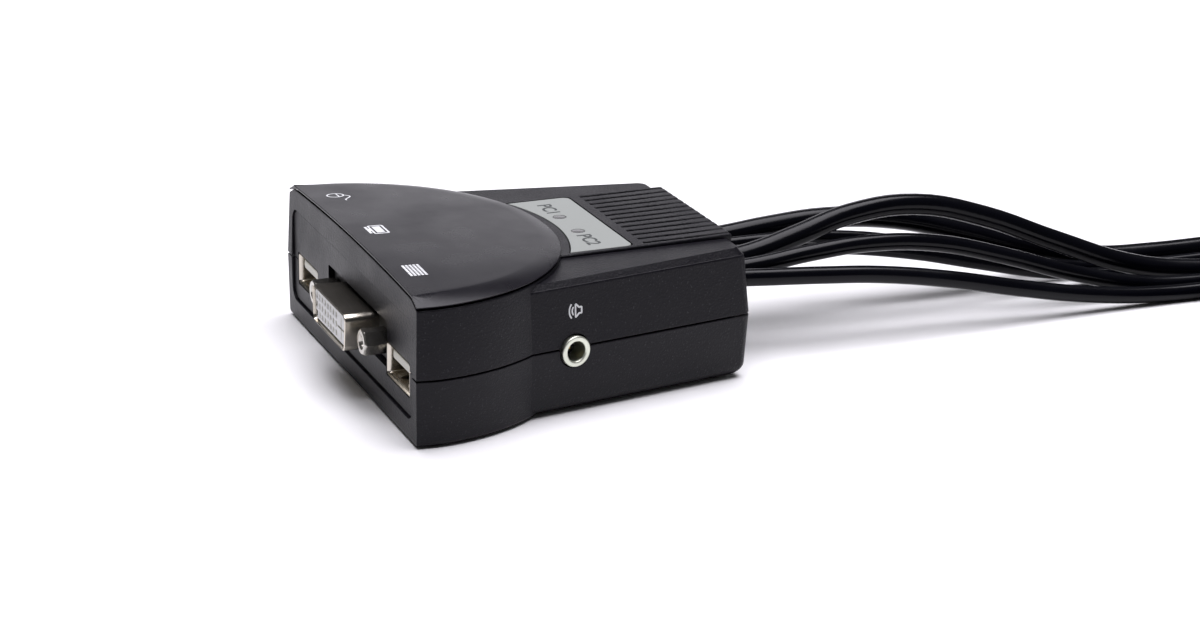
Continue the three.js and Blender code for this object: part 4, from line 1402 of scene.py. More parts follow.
@dataclass
class UsbSocket:
    """One USB-A socket: its plated shell, contact tongue and contacts."""

    place_name: str
    x: float

    def outline(self, inset: float) -> np.ndarray:
        """The shell's outline at an inset.

        Args:
            inset: how far inside the full outline.

        Returns:
            Points in X and Z.
        """
        s = SOCKETS
        width, height = s.usb_w - 2 * inset, s.usb_h - 2 * inset
        return slab_outline(self.x, s.usb_z, width, height, max(0.7 - inset, 0.15))

    def build(self) -> None:
        """Builds and dresses the shell, then what it holds."""
        s = SOCKETS
        mouth = FORM.front_y + 0.1
        back = mouth + s.usb_depth
        shell = cup_y(f"usb_shell_{self.place_name}_fine", self.outline, mouth, back, 0.55, 0.25)
        place(shell, Body.CASE, "nickel", FINISH.nickel, f"usb_shell_{self.place_name}")
        def tongue_outline(inset: float) -> np.ndarray:
            """The tongue's outline at an inset."""
            return slab_outline(self.x, s.usb_z + 1.3, 11.2 - 2 * inset, 1.8 - 2 * inset, 0.3)
        ends = [(0.25, mouth + 0.8), (0.06, mouth + 0.9), (0.0, mouth + 1.1), (0.0, back - 1.4)]
        tongue = bar_y(f"usb_tongue_{self.place_name}_fine", tongue_outline, ends)
        shade(tongue)
        place(tongue, Body.CASE, "insert", FINISH.insert, f"usb_tongue_{self.place_name}")
        contacts = mesh_object(f"usb_contacts_{self.place_name}", merge(self.strips(mouth)))
        place(contacts, Body.CASE, "nickel", FINISH.gold)
        leaves = mesh_object(f"usb_springs_{self.place_name}", merge(self.springs(mouth)))
        shade(leaves)
        place(leaves, Body.CASE, "nickel", FINISH.nickel)

    def strips(self, mouth: float) -> list:
        """The four contact strips under the tongue.

        Args:
            mouth: y of the shell's lip.

        Returns:
            Points and faces of each.
        """
        strips = []
        for i in range(4):
            x = self.x + (i - 1.5) * 2.3
            strip = slab_outline(x, SOCKETS.usb_z + 0.36, 1.0, 0.2, 0.05, 0, 2)
            strips.append(loft([upright(strip, y) for y in (mouth + 1.6, mouth + 9.5)]))
        return strips

    def springs(self, mouth: float) -> list:
        """The four spring leaves that grip a plug, each bowed inwards like half a sine wave.

        Args:
            mouth: y of the shell's lip.

        Returns:
            Points and faces of each.
        """
        s = SOCKETS
        springs = []
        for side in (-1, 1):
            for x in (self.x - 3.2, self.x + 3.2):
                rings = []
                for share in np.linspace(0, 1, 9):
                    bow = 0.55 * math.sin(math.pi * share) ** 0.8
                    z = s.usb_z + side * (s.usb_h / 2 - 0.65 - bow)
                    leaf = slab_outline(x, z, 1.9, 0.16, 0.05, 0, 2)
                    rings.append(upright(leaf, mouth + 1.2 + 6.2 * share))
                springs.append(loft(rings))
        return springs


@dataclass
class VideoSocket:
    """The video socket: dark flange, D-shaped shell, contact block and two hexagonal posts."""

    pitch: float = 1.905
    rows: int = 3
    columns: int = 8
    post_apothem: float = 2.38

    def outline(self, inset: float) -> np.ndarray:
        """The shell's outline at an inset.

        Args:
            inset: how far inside the full outline.

        Returns:
            Points in X and Z.
        """
        s = SOCKETS
        width, height = s.dvi_w - 2 * inset, s.dvi_h - 2 * inset
        return slab_outline(s.dvi_x, s.dvi_z, width, height, 1.5 - 0.7 * inset, s.dvi_taper, 9)

    def flange(self) -> bpy.types.Object:
        """Builds the flange behind the window, with the hole that the shell passes through."""
        s = SOCKETS
        y = FORM.front_y + 1.2
        def outline(inset: float) -> np.ndarray:
            """The flange's outline at an inset."""
            width, height = s.window_w - 0.8 - 2 * inset, s.window_h - 0.8 - 2 * inset
            return slab_outline(s.dvi_x, s.dvi_z, width, height, 1.2)
        flange = bar_y("dvi_flange", outline, [(0.1, y), (0.0, y + 0.1), (0.0, y + 0.8)])
        carve(flange, [bar_y("bore", self.outline, [(-0.02, y - 1), (-0.02, y + 2)])])
        return flange

    def insert(self) -> bpy.types.Object:
        """Builds the contact block with its rows of square holes and the crossed blade slots."""
        s = SOCKETS
        tip = FORM.front_y - s.dvi_reach + 0.5
        ends = [(0.95, tip), (0.8, tip + 0.15), (0.8, FORM.front_y + 5)]
        insert = bar_y("dvi_insert_fine", self.outline, ends)
        first = s.dvi_x - 3.0 - (self.columns - 1) / 2 * self.pitch
        depths = [(-0.15, tip - 1), (-0.15, tip), (0.0, tip + 0.2), (0.05, tip + 3.5)]
        tools = []
        for row in range(self.rows):
            for column in range(self.columns):
                x = first + column * self.pitch
                z = s.dvi_z - 0.1 + (row - (self.rows - 1) / 2) * self.pitch
                def hole(inset: float, x: float = x, z: float = z) -> np.ndarray:
                    """A hole's outline at an inset."""
                    return slab_outline(x, z, 1.15 - 2 * inset, 1.15 - 2 * inset, 0.2, 0, 2)
                tools.append(bar_y("hole", hole, depths))
        for half, low, high in ((2.4, -0.3, 0.1), (0.2, -2.4, 2.2)):
            cross = s.dvi_x + 7.3
            tools.append(block("blade", (cross - half, tip - 1, s.dvi_z + low),
                               (cross + half, tip + 3.5, s.dvi_z + high)))
        carve(insert, tools[:-1])
        carve(insert, tools[-1:])
        self.darken(insert, tip + 0.2)
        return insert

    def darken(self, insert: bpy.types.Object, depth: float) -> None:
        """Paints shade into the insides of the holes, which hold no light: their faces get a near-black
        finish of their own.

        Args:
            insert: the contact block.
            depth: y that the holes' faces lie behind.
        """
        polygons = insert.data.polygons
        middle = np.zeros(len(polygons) * 3, np.float32)
        polygons.foreach_get("center", middle)
        behind = middle.reshape(-1, 3)[:, 1] > depth * MM
        insert.data.materials.append(FINISH.insert.make())
        insert.data.materials.append(FINISH.hole.make())
        polygons.foreach_set("material_index", behind.astype(np.int32))

    def post(self, x: float) -> tuple[np.ndarray, list]:
        """A hexagonal post with a threaded hole in its front.

        The hexagon's radius at an angle is its apothem / cos(angle from the middle of a side).

        Args:
            x: middle, across.

        Returns:
            Points and faces.
        """
        angle = np.arange(72) / 72 * 2 * np.pi
        side = (angle % (np.pi / 3)) - np.pi / 6
        hexagon = self.post_apothem / np.cos(side)
        front = FORM.front_y - 4.3
        back = FORM.front_y + 0.9
        steps = [(1.15, front + 4)]
        steps += [(1.15 + 0.14 * (i % 2), front + 3.6 - 0.35 * i) for i in range(9)]
        steps += [(1.3, front + 0.25), (1.55, front)]
        for limit, y in ((2.35, front), (2.6, front + 0.25), (9.0, front + 0.5), (9.0, back)):
            steps.append((np.minimum(hexagon, limit), y))
        steps += [(1.35, back), (1.35, back + 5)]
        return moved(loft([ring_y(radius, angle, y) for radius, y in steps]), x, 0, SOCKETS.dvi_z)

    def build(self) -> None:
        """Builds and dresses the socket."""
        s = SOCKETS
        mouth, back = FORM.front_y - s.dvi_reach, FORM.front_y + 5.6
        shell = cup_y("dvi_shell_fine", self.outline, mouth, back, 0.5)
        place(shell, Body.CASE, "nickel", FINISH.nickel, "dvi_shell")
        flange = self.flange()
        shade(flange)
        place(flange, Body.CASE, "nickel", FINISH.dull)
        insert = self.insert()
        shade(insert)
        place(insert, Body.CASE, "insert", None, "dvi_insert")
        for side, name in ((-1, "left"), (1, "right")):
            post = mesh_object(f"jackscrew_{name}_fine", self.post(s.dvi_x + side * s.post_spacing / 2))
            shade(post, 30)
            place(post, Body.CASE, "steel", FINISH.steel, f"jackscrew_{name}")


@dataclass
class AudioSocket:
    """The audio socket in the right side wall, and the speaker sign beside it."""

    def turned_out(self, profile: Sequence[tuple[float, float]]) -> tuple[np.ndarray, list]:
        """A turned piece that points out of the side wall.

        Args:
            profile: (radius, distance out) pairs.

        Returns:
            Points and faces.
        """
        points, faces = turned(profile, 72)
        outwards = points[:, [1, 0, 2]]
        return FORM.on_side(outwards, SOCKETS.jack_y, SOCKETS.jack_z), faces

    def build(self) -> None:
        """Builds and dresses the ring, a near-black disc of painted shade deep in its bore, the inner
        contact and the sign.
        """
        r, bore = SOCKETS.jack_r, SOCKETS.jack_hole_r
        angle = np.linspace(0, np.pi / 2, 7)
        nose = [(r - 0.35 + 0.35 * math.cos(t), 0.35 + 0.35 * math.sin(t)) for t in angle]
        mouth = [(bore + 0.45 - 0.45 * math.sin(t), 0.25 + 0.45 * math.cos(t)) for t in angle]
        thread = [(r - 0.12 * (i % 2), -3.8 + 0.33 * i) for i in range(12)]
        profile = [(bore, -4.0), (r - 0.2, -4.0)] + thread + nose + mouth
        ring = mesh_object("audio_ring_fine", self.closed(profile))
        shade(ring, 34)
        place(ring, Body.CASE, "nickel", FINISH.ring, "audio_ring")
        # Painted shade: a near-black disc at the bottom of the bore, where no light reaches.
        plug = [(0, -4.2), (bore - 0.05, -4.2), (bore - 0.05, -3.6), (0, -3.6)]
        bore_shade = mesh_object("audio_well", self.turned_out(plug))
        place(bore_shade, Body.CASE, "chip", FINISH.hole)
        tip = [(0, -3.5), (0.5, -3.5), (0.5, -2.6), (0.25, -2.3), (0, -2.3)]
        leaf = mesh_object("audio_contact", self.turned_out(tip))
        shade(leaf)
        place(leaf, Body.CASE, "nickel", FINISH.gold)
        sign = mesh_object("speaker_sign", merge(self.speaker()))
        place(sign, Body.CASE, "case_plastic", FINISH.ink)

    def closed(self, profile: Sequence[tuple[float, float]]) -> tuple[np.ndarray, list]:
        """A turned ring whose profile closes on itself.

        Args:
            profile: (radius, distance out) pairs.

        Returns:
            Points and faces.
        """
        angle = np.arange(72) / 72 * 2 * np.pi
        rings = [ring_y(radius, angle, out)[:, [1, 0, 2]] for radius, out in profile]
        points, faces = loft(rings, Cap.RING)
        return FORM.on_side(points, SOCKETS.jack_y, SOCKETS.jack_z), faces

    def lay(self, points: np.ndarray, lift: float) -> np.ndarray:
        """Lays points of a sign on the drafted side wall.

        Args:
            points: places along and up the wall, from the sign's middle.
            lift: height over the wall.

        Returns:
            Points in X, Y and Z.
        """
        f = FORM
        z = f.base_z + 20.9 + points[:, 1]
        y = f.front_y + 35.7 - points[:, 0]
        share = (z - f.parting_z) / (f.lip_z - f.parting_z)
        return np.column_stack([f.body_half(y) - f.upper_draft * share + lift, y, z])

    def speaker(self) -> list:
        """The sign of a loudspeaker with two waves."""
        horn = np.array([[-1.2, -0.6], [-0.6, -0.6], [0.2, -1.4], [0.2, 1.4], [-0.6, 0.6], [-1.2, 0.6]])
        strokes = [stroke(rounded_outline(horn, 0.08, 2), 0.36, self.lay, True)]
        for radius in (0.85, 1.5):
            angle = np.linspace(-0.85, 0.85, 12)
            wave = np.column_stack([0.1 + radius * np.cos(angle), radius * 1.25 * np.sin(angle)])
            strokes.append(stroke(wave, 0.32, self.lay))
        return strokes


# ---------- feet, screws and grommet ----------
@dataclass
class Underside:
    """The foot pads and the case screws, which are seen from below."""

    pad_thick: float = 1.0

    def build(self) -> None:
        """Builds and dresses four pads and four screws."""
        f = FORM
        shells = Shells()
        for i, (x, y) in enumerate(shells.pads, 1):
            ends = [(0.35, 0.0), (0.08, 0.08), (0.0, 0.3), (0.0, self.pad_thick)]
            pad = round_z(f"foot_pad_{i}_fine", x, f.front_y + y, shells.pad_radius, ends, 56)
            shade(pad, 40)
            place(pad, Body.CASE, "rubber", FINISH.rubber, f"foot_pad_{i}")
        for i, (x, y) in enumerate(shells.screws, 1):
            low, high = (corner.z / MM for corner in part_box(f"case_screw_{i}"))
            profile = [(0, low), (1.9, low), (2.3, low + 0.25), (2.4, low + 0.5), (2.4, low + 1.2),
                       (1.3, low + 1.25), (1.3, high - 0.6), (0.7, high)]
            mid = f.front_y + y
            screw = mesh_object(f"case_screw_{i}_fine", stood_up(turned(profile, 40), x, mid))
            for w, d in ((1.4, 0.26), (0.26, 1.4)):
                carve(screw, [block("cross", (x - w, mid - d, low - 1), (x + w, mid + d, low + 0.8))])
            shade(screw, 35)
            place(screw, Body.CASE, "steel", FINISH.steel, f"case_screw_{i}")


# ---------- leads ----------
class PlugKind(Enum):
    """The kinds of plug, with the height of each plug's axis over what it rests on."""

    DVI = 7.5
    USB = 4.2
    AUDIO = 4.4


@dataclass
class Lead:
    """One fixed lead: its route out of the case, its coil of spare length, and its plug."""

    name: str
    kind: PlugKind
    thick: float
    exit_x: float
    coil_y: float
    coil_mid: float
    across: int
    layers: int
    wind: int
    turns: float
    route: tuple
    length: float = 1.2
    pieces: list = field(default_factory=list)

    @property
    def outer_turn(self) -> float:
        """Radius of the outer turns' middle."""
        return self.coil_mid / 2 + (self.across - 1) / 2 * self.thick

    @property
    def coil_x(self) -> float:
        """Middle of the coil, across."""
        return self.exit_x - self.wind * self.outer_turn

    @property
    def plug_z(self) -> float:
        """Height of the plug's axis, lying on the coil."""
        return self.layers * self.thick + GAP + self.kind.value

    @property
    def tail_angle(self) -> float:
        """Where the lead leaves the coil's top turn, in radians."""
        return math.radians(210)

    @property
    def bend(self) -> float:
        """Radius of the bend from the coil up to the plug."""
        return 0.464 * self.outer_turn

    @property
    def plug_y(self) -> float:
        """Where the plug's moulding starts."""
        return self.coil_y + (self.outer_turn - self.bend) * math.sin(self.tail_angle) + 2 * GAP

    def coil_points(self) -> np.ndarray:
        """The coil's turns.

        Every turn keeps to its own slot, a lead's thickness from the next, and steps over to the
        next slot in its last quarter. The layers step inwards and outwards by turns, and the top
        one holds only its outermost turns.

        Returns:
            The centreline's points.
        """
        whole_layers = range(self.layers - 1)
        row = list(range(self.across))
        slots = [slot for layer in whole_layers for slot in (row if layer % 2 else row[::-1])]
        top = row[len(slots) - math.ceil(self.turns):]
        layers = [layer for layer in whole_layers for _ in row] + [self.layers - 1] * len(top)
        slots += top
        t = np.arange(0, self.turns + 1e-6, 1 / 24)
        t = np.append(t[t < self.turns - 0.02], self.turns)
        whole = np.minimum(t.astype(int), len(slots) - 1)
        after = np.minimum(whole + 1, len(slots) - 1)
        share = np.clip((t - whole - 0.72) / 0.28, 0, 1)
        ease = share**2 * (3 - 2 * share)
        slot = np.array(slots)[whole] + (np.array(slots)[after] - np.array(slots)[whole]) * ease
        layer = np.array(layers)[whole] + (np.array(layers)[after] - np.array(layers)[whole]) * ease
        radius = self.coil_mid / 2 + (slot - (self.across - 1) / 2) * self.thick
        angle = 2 * np.pi * t
        return np.column_stack([self.coil_x + self.wind * radius * np.cos(angle),
                                self.coil_y + radius * np.sin(angle), self.thick * (0.5 + layer)])

    def tail_points(self) -> np.ndarray:
        """The bend that rises from the coil to the plug: an arc that touches the outer turn."""
        share = np.linspace(0, 1, 11)[1:]
        angle = self.tail_angle + share * (2 * np.pi - self.tail_angle)
        reach = self.outer_turn - self.bend
        east = reach * math.cos(self.tail_angle) + self.bend * np.cos(angle)
        north = reach * math.sin(self.tail_angle) + self.bend * np.sin(angle)
        rise = np.clip(share / 0.95, 0, 1)
        rise = rise**2 * (3 - 2 * rise)
        top = (self.layers - 0.5) * self.thick
        z = top + (self.plug_z - top) * rise
        return np.column_stack([self.coil_x + self.wind * east, self.coil_y + north, z])

    def centreline(self) -> np.ndarray:
        """The whole lead's points, from inside its collar to inside its plug."""
        collar = SOCKETS.slot_z
        last = self.route[-1][1]
        lane_y = np.arange(last + 14, self.coil_y - 6, 14.0)
        lane = np.column_stack([np.full_like(lane_y, self.exit_x), lane_y,
                                np.full_like(lane_y, self.thick / 2)])
        start = [[self.exit_x, FORM.rear_y - 1, collar], [self.exit_x, FORM.rear_y + 1.8, collar]]
        end = [[self.coil_x, self.plug_y + 3, self.plug_z]]
        return np.concatenate([start, self.route, lane, self.coil_points(), self.tail_points(), end])

    def build(self) -> bpy.types.Object:
        """Builds the lead as one curve and dresses it."""
        points = self.centreline() * MM
        curve = bpy.data.curves.new(self.name + "_cable", "CURVE")
        curve.dimensions = "3D"
        curve.bevel_depth = self.thick / 2 * MM
        curve.bevel_resolution = 5
        curve.use_fill_caps = True
        curve.resolution_u = 5
        spline = curve.splines.new("BEZIER")
        spline.bezier_points.add(len(points) - 1)
        spline.bezier_points.foreach_set("co", points.ravel())
        for point in spline.bezier_points:
            point.handle_left_type = "AUTO"
            point.handle_right_type = "AUTO"
        cable = add_object(curve.name, curve)
        nodes = (self.name, self.name.replace("lead", "coil"))
        return place(cable, Body.CASE, "jacket", FINISH.jacket, *nodes)

    def declare(self, cable: bpy.types.Object) -> None:
        """Args:
            cable: the lead's curve; not used.
        """
        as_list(self.pieces)


LEADS = (
    Lead("dvi_lead_1", PlugKind.DVI, 4.8, -14.6, 223, 33, 2, 5, 1, 8.583,
         ((-14.6, 52, 17.2), (-14.8, 64, 18.3), (-15.2, 78, 18.8), (-15.4, 95, 17.0),
          (-15.2, 112, 12.6), (-14.9, 130, 7.0), (-14.6, 148, 3.2), (-14.6, 164, 2.4))),
    Lead("audio_lead_1", PlugKind.AUDIO, 3.0, -9.4, 263, 27, 3, 4, 1, 10.583,
         ((-9.4, 52, 17.0), (-9.7, 64, 16.9), (-10.1, 78, 15.9), (-10.2, 95, 13.0),
          (-10.0, 112, 8.8), (-9.7, 130, 4.5), (-9.5, 148, 2.0), (-9.4, 164, 1.5))),
    Lead("audio_lead_2", PlugKind.AUDIO, 3.0, -4.8, 311, 27, 3, 4, 1, 10.583,
         ((-4.8, 52, 16.6), (-5.0, 64, 16.1), (-5.2, 78, 14.8), (-5.2, 95, 11.9),
          (-5.0, 112, 7.9), (-4.9, 130, 3.9), (-4.8, 148, 1.8), (-4.8, 164, 1.5))),
    Lead("dvi_lead_2", PlugKind.DVI, 4.8, 1.0, 297.5, 33, 2, 5, -1, 8.583,
         ((0.7, 52, 17.7), (-0.8, 64, 20.2), (-3.4, 78, 23.0), (-5.0, 95, 23.2), (-4.8, 112, 19.0),
          (-2.6, 130, 12.0), (-0.2, 148, 5.6), (0.8, 164, 2.9), (1.0, 182, 2.4))),
    Lead("usb_lead_1", PlugKind.USB, 3.8, 7.0, 234, 31, 3, 4, -1, 9.583,
         ((7.0, 52, 17.3), (6.5, 64, 18.5), (5.7, 78, 19.0), (5.0, 95, 17.2),
          (5.1, 112, 12.7), (6.0, 130, 7.0), (6.8, 148, 2.9), (7.0, 164, 1.9))),
    Lead("usb_lead_2", PlugKind.USB, 3.8, 12.5, 176, 31, 3, 4, -1, 10.583,
         ((12.5, 52, 16.2), (12.4, 64, 15.3), (12.4, 78, 14.0), (12.6, 95, 11.2),
          (12.8, 112, 7.5), (12.7, 130, 4.1), (12.5, 148, 2.2), (12.5, 164, 1.9))),
)


@dataclass
class Grommet:
    """The moulded bar in the rear slot, with a tapered collar round each lead."""

    def build(self) -> bpy.types.Object:
        """Builds and dresses the grommet."""
        s = SOCKETS
        half = s.slot_half - GAP
        high = s.slot_h / 2 - GAP
        rear = FORM.rear_y
        def outline(inset: float) -> np.ndarray:
            """The bar's outline at an inset."""
            return slab_outline(0, s.slot_z, 2 * half - 2 * inset, 2 * high - 2 * inset, 0.8)
        ends = [(0, rear - 4), (0, rear - 0.15), (0.1, rear + 0.05), (0.3, rear + 0.1)]
        bar = bar_y("cable_grommet_fine", outline, ends)
        collars = []
        for lead in LEADS:
            r = lead.thick / 2
            profile = [(r + 0.9, rear - 0.5), (r + 0.85, rear + 0.4), (r + 0.62, rear + 0.7),
                       (r + 0.66, rear + 0.95), (r + 0.45, rear + 1.2), (r + 0.35, rear + 1.5)]
            collars.append(mesh_object("collar", moved(turned(profile, 40), lead.exit_x, 0, s.slot_z)))
        carve(bar, collars, Carve.ADD)
        shade(bar)
        return place(bar, Body.CASE, "rubber", FINISH.rubber, "cable_grommet")


# ---------- plugs ----------
def section_loft(name: str, x: float, z: float, sections: Sequence[tuple]) -> bpy.types.Object:
    """A moulding along Y whose section is a rounded rectangle that changes.

    Args:
        name: the object's name.
        x: middle, across.
        z: middle height.
        sections: (y, width, height, corner radius) for each section.

    Returns:
        The object.
    """
    rings = [upright(slab_outline(x, z, w, h, r), y) for y, w, h, r in sections]
    return mesh_object(name, loft(rings))


def relief(x: float, z: float, y0: float, y1: float, r0: float, r1: float,
           ribs: int) -> bpy.types.Object:
    """A tapered strain relief with ribs round it.

    Args:
        x: middle, across.
        z: middle height.
        y0: thin end.
        y1: thick end.
        r0: radius at the thin end.
        r1: radius at the thick end.
        ribs: how many ribs.

    Returns:
        The object.
    """
    profile = [(r0 * 0.8, y0), (r0, y0 + 0.3)]
    pitch = (y1 - y0 - 1.5) / ribs
    for i in range(ribs):
        y = y0 + 1 + i * pitch
        r = r0 + (r1 - r0) * (y - y0) / (y1 - y0)
        low = r - 0.55
        profile += [(r, y), (r, y + pitch * 0.5), (low, y + pitch * 0.6), (low, y + pitch * 0.85)]
    profile.append((r1, y1))
    return mesh_object("relief", moved(turned(profile, 40), x, 0, z))


def grip_tools(x: float, z: float, starts: Sequence[float], size: Sequence[float],
               side_x: float) -> list[bpy.types.Object]:
    """Tools for the finger grooves on both sides of a hood.

    Args:
        x: middle of the hood, across.
        z: middle height.
        starts: y where each groove starts.
        size: a groove's size in X, Y and Z.
        side_x: how far from the middle the grooves lie.

    Returns:
        The tools, first of the left side and then of the right.
    """
    w, d, h = size[0] / 2, size[1], size[2] / 2
    middles = (x - side_x, x + side_x)
    return [block("grip", (mid - w, y, z - h), (mid + w, y + d, z + h)) for mid in middles for y in starts]


@dataclass
class Plugs:
    """The plugs at the leads' far ends."""

    def dvi(self, lead: Lead, name: str) -> list[bpy.types.Object]:
        """A video plug: ribbed hood with two ears, D-shaped shell, contact pins, thumbscrews.

        Args:
            lead: the lead that it ends.
            name: the plug's name.

        Returns:
            Its pieces.
        """
        x, y, z = lead.coil_x, lead.plug_y, lead.plug_z
        face = y + 36
        body = [(y + 11.5, 12, 9, 3), (y + 12.4, 22, 12.4, 3), (y + 13.6, 26.4, 13.8, 2.8),
                (y + 15, 28, 14.4, 2.6), (face - 0.5, 28, 14.4, 2.4), (face, 27, 13.4, 2.0)]
        hood = section_loft(name + "_hood_fine", x, z, body)
        ear = [(face - 6, 39, 8, 1.8), (face - 5.6, 40, 9, 2), (face - 0.5, 40, 9, 2), (face, 39, 8, 1.8)]
        ears = section_loft("ears", x, z, ear)
        carve(hood, [ears, relief(x, z, y, y + 13, 3.4, 4.6, 5)], Carve.ADD)
        grips = grip_tools(x, z, [y + 17.5 + i * 2.2 for i in range(5)], (1.4, 1.0, 10), 14.2)
        screws = [x - SOCKETS.post_spacing / 2, x + SOCKETS.post_spacing / 2]
        hole = turned([(1.9, face - 8), (1.9, face + 2)], 40)
        carve(hood, grips + [mesh_object("hole", moved(hole, at, 0, z)) for at in screws])
        shade(hood)
        pieces = [place(hood, Body.CASE, "hood", FINISH.hood, name + "_hood")]
        def outline(inset: float) -> np.ndarray:
            """The plug shell's outline at an inset."""
            return slab_outline(x, z, 22.4 - 2 * inset, 8 - 2 * inset, 1.4 - 0.5 * inset, 0.8, 8)
        tip = face + 6.5
        ring = [(0.5, face + 2.7), (0.5, tip - 0.1), (0.25, tip), (0.05, tip - 0.12), (0.0, tip - 0.3),
                (0.0, face + GAP)]
        shell = bar_y(name + "_shell_fine", outline, ring)
        shade(shell, 40)
        pieces.append(place(shell, Body.CASE, "nickel", FINISH.nickel, name + "_shell"))
        pins = []
        for row in range(3):
            for column in range(8):
                across, up = (column - 3.5) * VideoSocket.pitch, (row - 1) * VideoSocket.pitch
                pin = circle(0.32, 10, x - 3 + across, z + up)
                pins.append(loft([upright(pin, face + 2.4), upright(pin, tip - 0.8)]))
        blade = slab_outline(x + 7.3, z, 4.4, 0.5, 0.1, 0, 2)
        pins.append(loft([upright(blade, face + 2.4), upright(blade, tip - 0.8)]))
        contacts = mesh_object(name + "_pins", merge(pins))
        shade(contacts)
        pieces.append(place(contacts, Body.CASE, "nickel", FINISH.gold))
        for i, at in enumerate(screws, 1):
            pieces.append(self.thumbscrew(f"{name}_thumbscrew_{i}", at, z, face))
        return pieces

    def thumbscrew(self, name: str, x: float, z: float, face: float) -> bpy.types.Object:
        """A knurled thumbscrew with a threaded tip, riding on its own body.

        Args:
            name: the node that it stands for.
            x: middle, across.
            z: middle height.
            face: y of the hood's front.

        Returns:
            The object.
        """
        y = face - 16
        profile = [(0, y), (1.1, y), (1.2, y + 0.5), (2.0, y + 0.6), (2.18, y + 0.9, 1),
                   (2.18, y + 7.5, 1), (2.0, y + 7.8), (1.5, y + 8.2), (1.5, face - 6 - GAP),
                   (1.45, face - 4), (1.45, face)]
        profile += [(1.42 - 0.16 * (i % 2), face + 0.3 + 0.3 * i) for i in range(15)]
        profile += [(1.0, face + 5), (0, face + 5)]
        screw = mesh_object(name + "_fine", moved(turned(profile, 72, 0.05, 18), x, 0, z))
        shade(screw, 40)
        return place(screw, name, "steel", FINISH.steel, name)

    def usb(self, lead: Lead, name: str) -> list[bpy.types.Object]:
        """A USB-A plug: moulded hood with grip dimples, steel shell and contact tongue.

        Args:
            lead: the lead that it ends.
            name: the plug's name.

        Returns:
            Its pieces.
        """
        x, y, z = lead.coil_x, lead.plug_y, lead.plug_z
        face = y + 34
        body = [(y + 7.6, 7, 5.6, 2.2), (y + 8.4, 12.5, 7, 2.2), (y + 9.6, 15, 7.8, 2.0),
                (y + 11.5, 16, 8, 1.9), (face - 0.5, 16, 8, 1.6), (face, 15.2, 7.2, 1.3)]
        hood = section_loft(name + "_hood_fine", x, z, body)
        carve(hood, [relief(x, z, y, y + 9, 2.6, 3.4, 4)], Carve.ADD)
        carve(hood, grip_tools(x, z, [y + 14.5 + i * 2.0 for i in range(6)], (1.0, 0.9, 5.2), 8.1))
        shade(hood)
        pieces = [place(hood, Body.CASE, "hood", FINISH.hood, name + "_hood")]
        tip = face + 12
        def outline(inset: float) -> np.ndarray:
            """The steel shell's outline at an inset."""
            return slab_outline(x, z, 12 - 2 * inset, 4.5 - 2 * inset, 0.4)
        ring = [(0.35, face + 2), (0.35, tip), (0.05, tip), (0.0, tip - 0.1), (0.0, face + GAP)]
        shell = bar_y(name + "_shell_fine", outline, ring)
        windows = [block("window", (at - 1.1, face + 5.2, z + 1.7), (at + 1.1, face + 7.6, z + 3))
                   for at in (x - 2.5, x + 2.5)]
        carve(shell, windows)
        shade(shell, 40)
        pieces.append(place(shell, Body.CASE, "nickel", FINISH.nickel, name + "_shell"))
        tongue = block(name + "_tongue", (x - 5.5, face + 2.1, z - 1.8), (x + 5.5, tip - 0.4, z + 0.1))
        pieces.append(place(tongue, Body.CASE, "insert", FINISH.insert))
        return pieces

    def audio(self, lead: Lead, name: str) -> list[bpy.types.Object]:
        """A 3.5 mm audio plug: ribbed hood, and a pin with two dark bands.

        Args:
            lead: the lead that it ends.
            name: the plug's name.

        Returns:
            Its pieces.
        """
        x, y, z = lead.coil_x, lead.plug_y, lead.plug_z
        grip = []
        for i in range(6):
            at = y + 9 + 2 * i
            grip += [(4.2, at), (4.2, at + 1.1), (3.85, at + 1.3), (3.85, at + 1.8)]
        profile = [(0, y), (1.9, y), (2.1, y + 0.3), (2.6, y + 6), (3.4, y + 6.3), (4.0, y + 6.8)]
        profile += [(4.2, y + 7.6)] + grip
        profile += [(4.2, y + 21), (3.9, y + 22), (3.2, y + 23), (0, y + 23)]
        hood = mesh_object(name + "_hood_fine", moved(turned(profile, 56), x, 0, z))
        shade(hood)
        pieces = [place(hood, Body.CASE, "hood", FINISH.hood, name + "_hood")]
        base = y + 23 + GAP
        angle = np.linspace(0, np.pi / 2, 6)
        nose = [(0.5 + 1.2 * math.cos(t), base + 12.6 + 1.4 * math.sin(t)) for t in angle]
        pin_profile = [(0, base), (1.75, base), (1.75, base + 10.6), (1.6, base + 11),
                       (1.2, base + 11.7), (1.3, base + 12.1)] + nose + [(0, base + 14)]
        pin = mesh_object(name + "_pin_fine", moved(turned(pin_profile, 48), x, 0, z))
        shade(pin)
        pieces.append(place(pin, Body.CASE, "steel", FINISH.nickel, name + "_pin"))
        band = [(1.6, 0), (1.77, 0), (1.77, 0.5), (1.6, 0.5)]
        bands = [moved(turned(band, 48), x, at, z) for at in (base + 5.5, base + 8.6)]
        rings = mesh_object(name + "_bands", merge(bands))
        shade(rings)
        pieces.append(place(rings, Body.CASE, "hood", FINISH.hood))
        return pieces

    def build(self) -> None:
        """Builds each lead's plug."""
        makers = {PlugKind.DVI: self.dvi, PlugKind.USB: self.usb, PlugKind.AUDIO: self.audio}
        for lead in LEADS:
            lead.pieces = makers[lead.kind](lead, lead.name.replace("lead", "plug"))


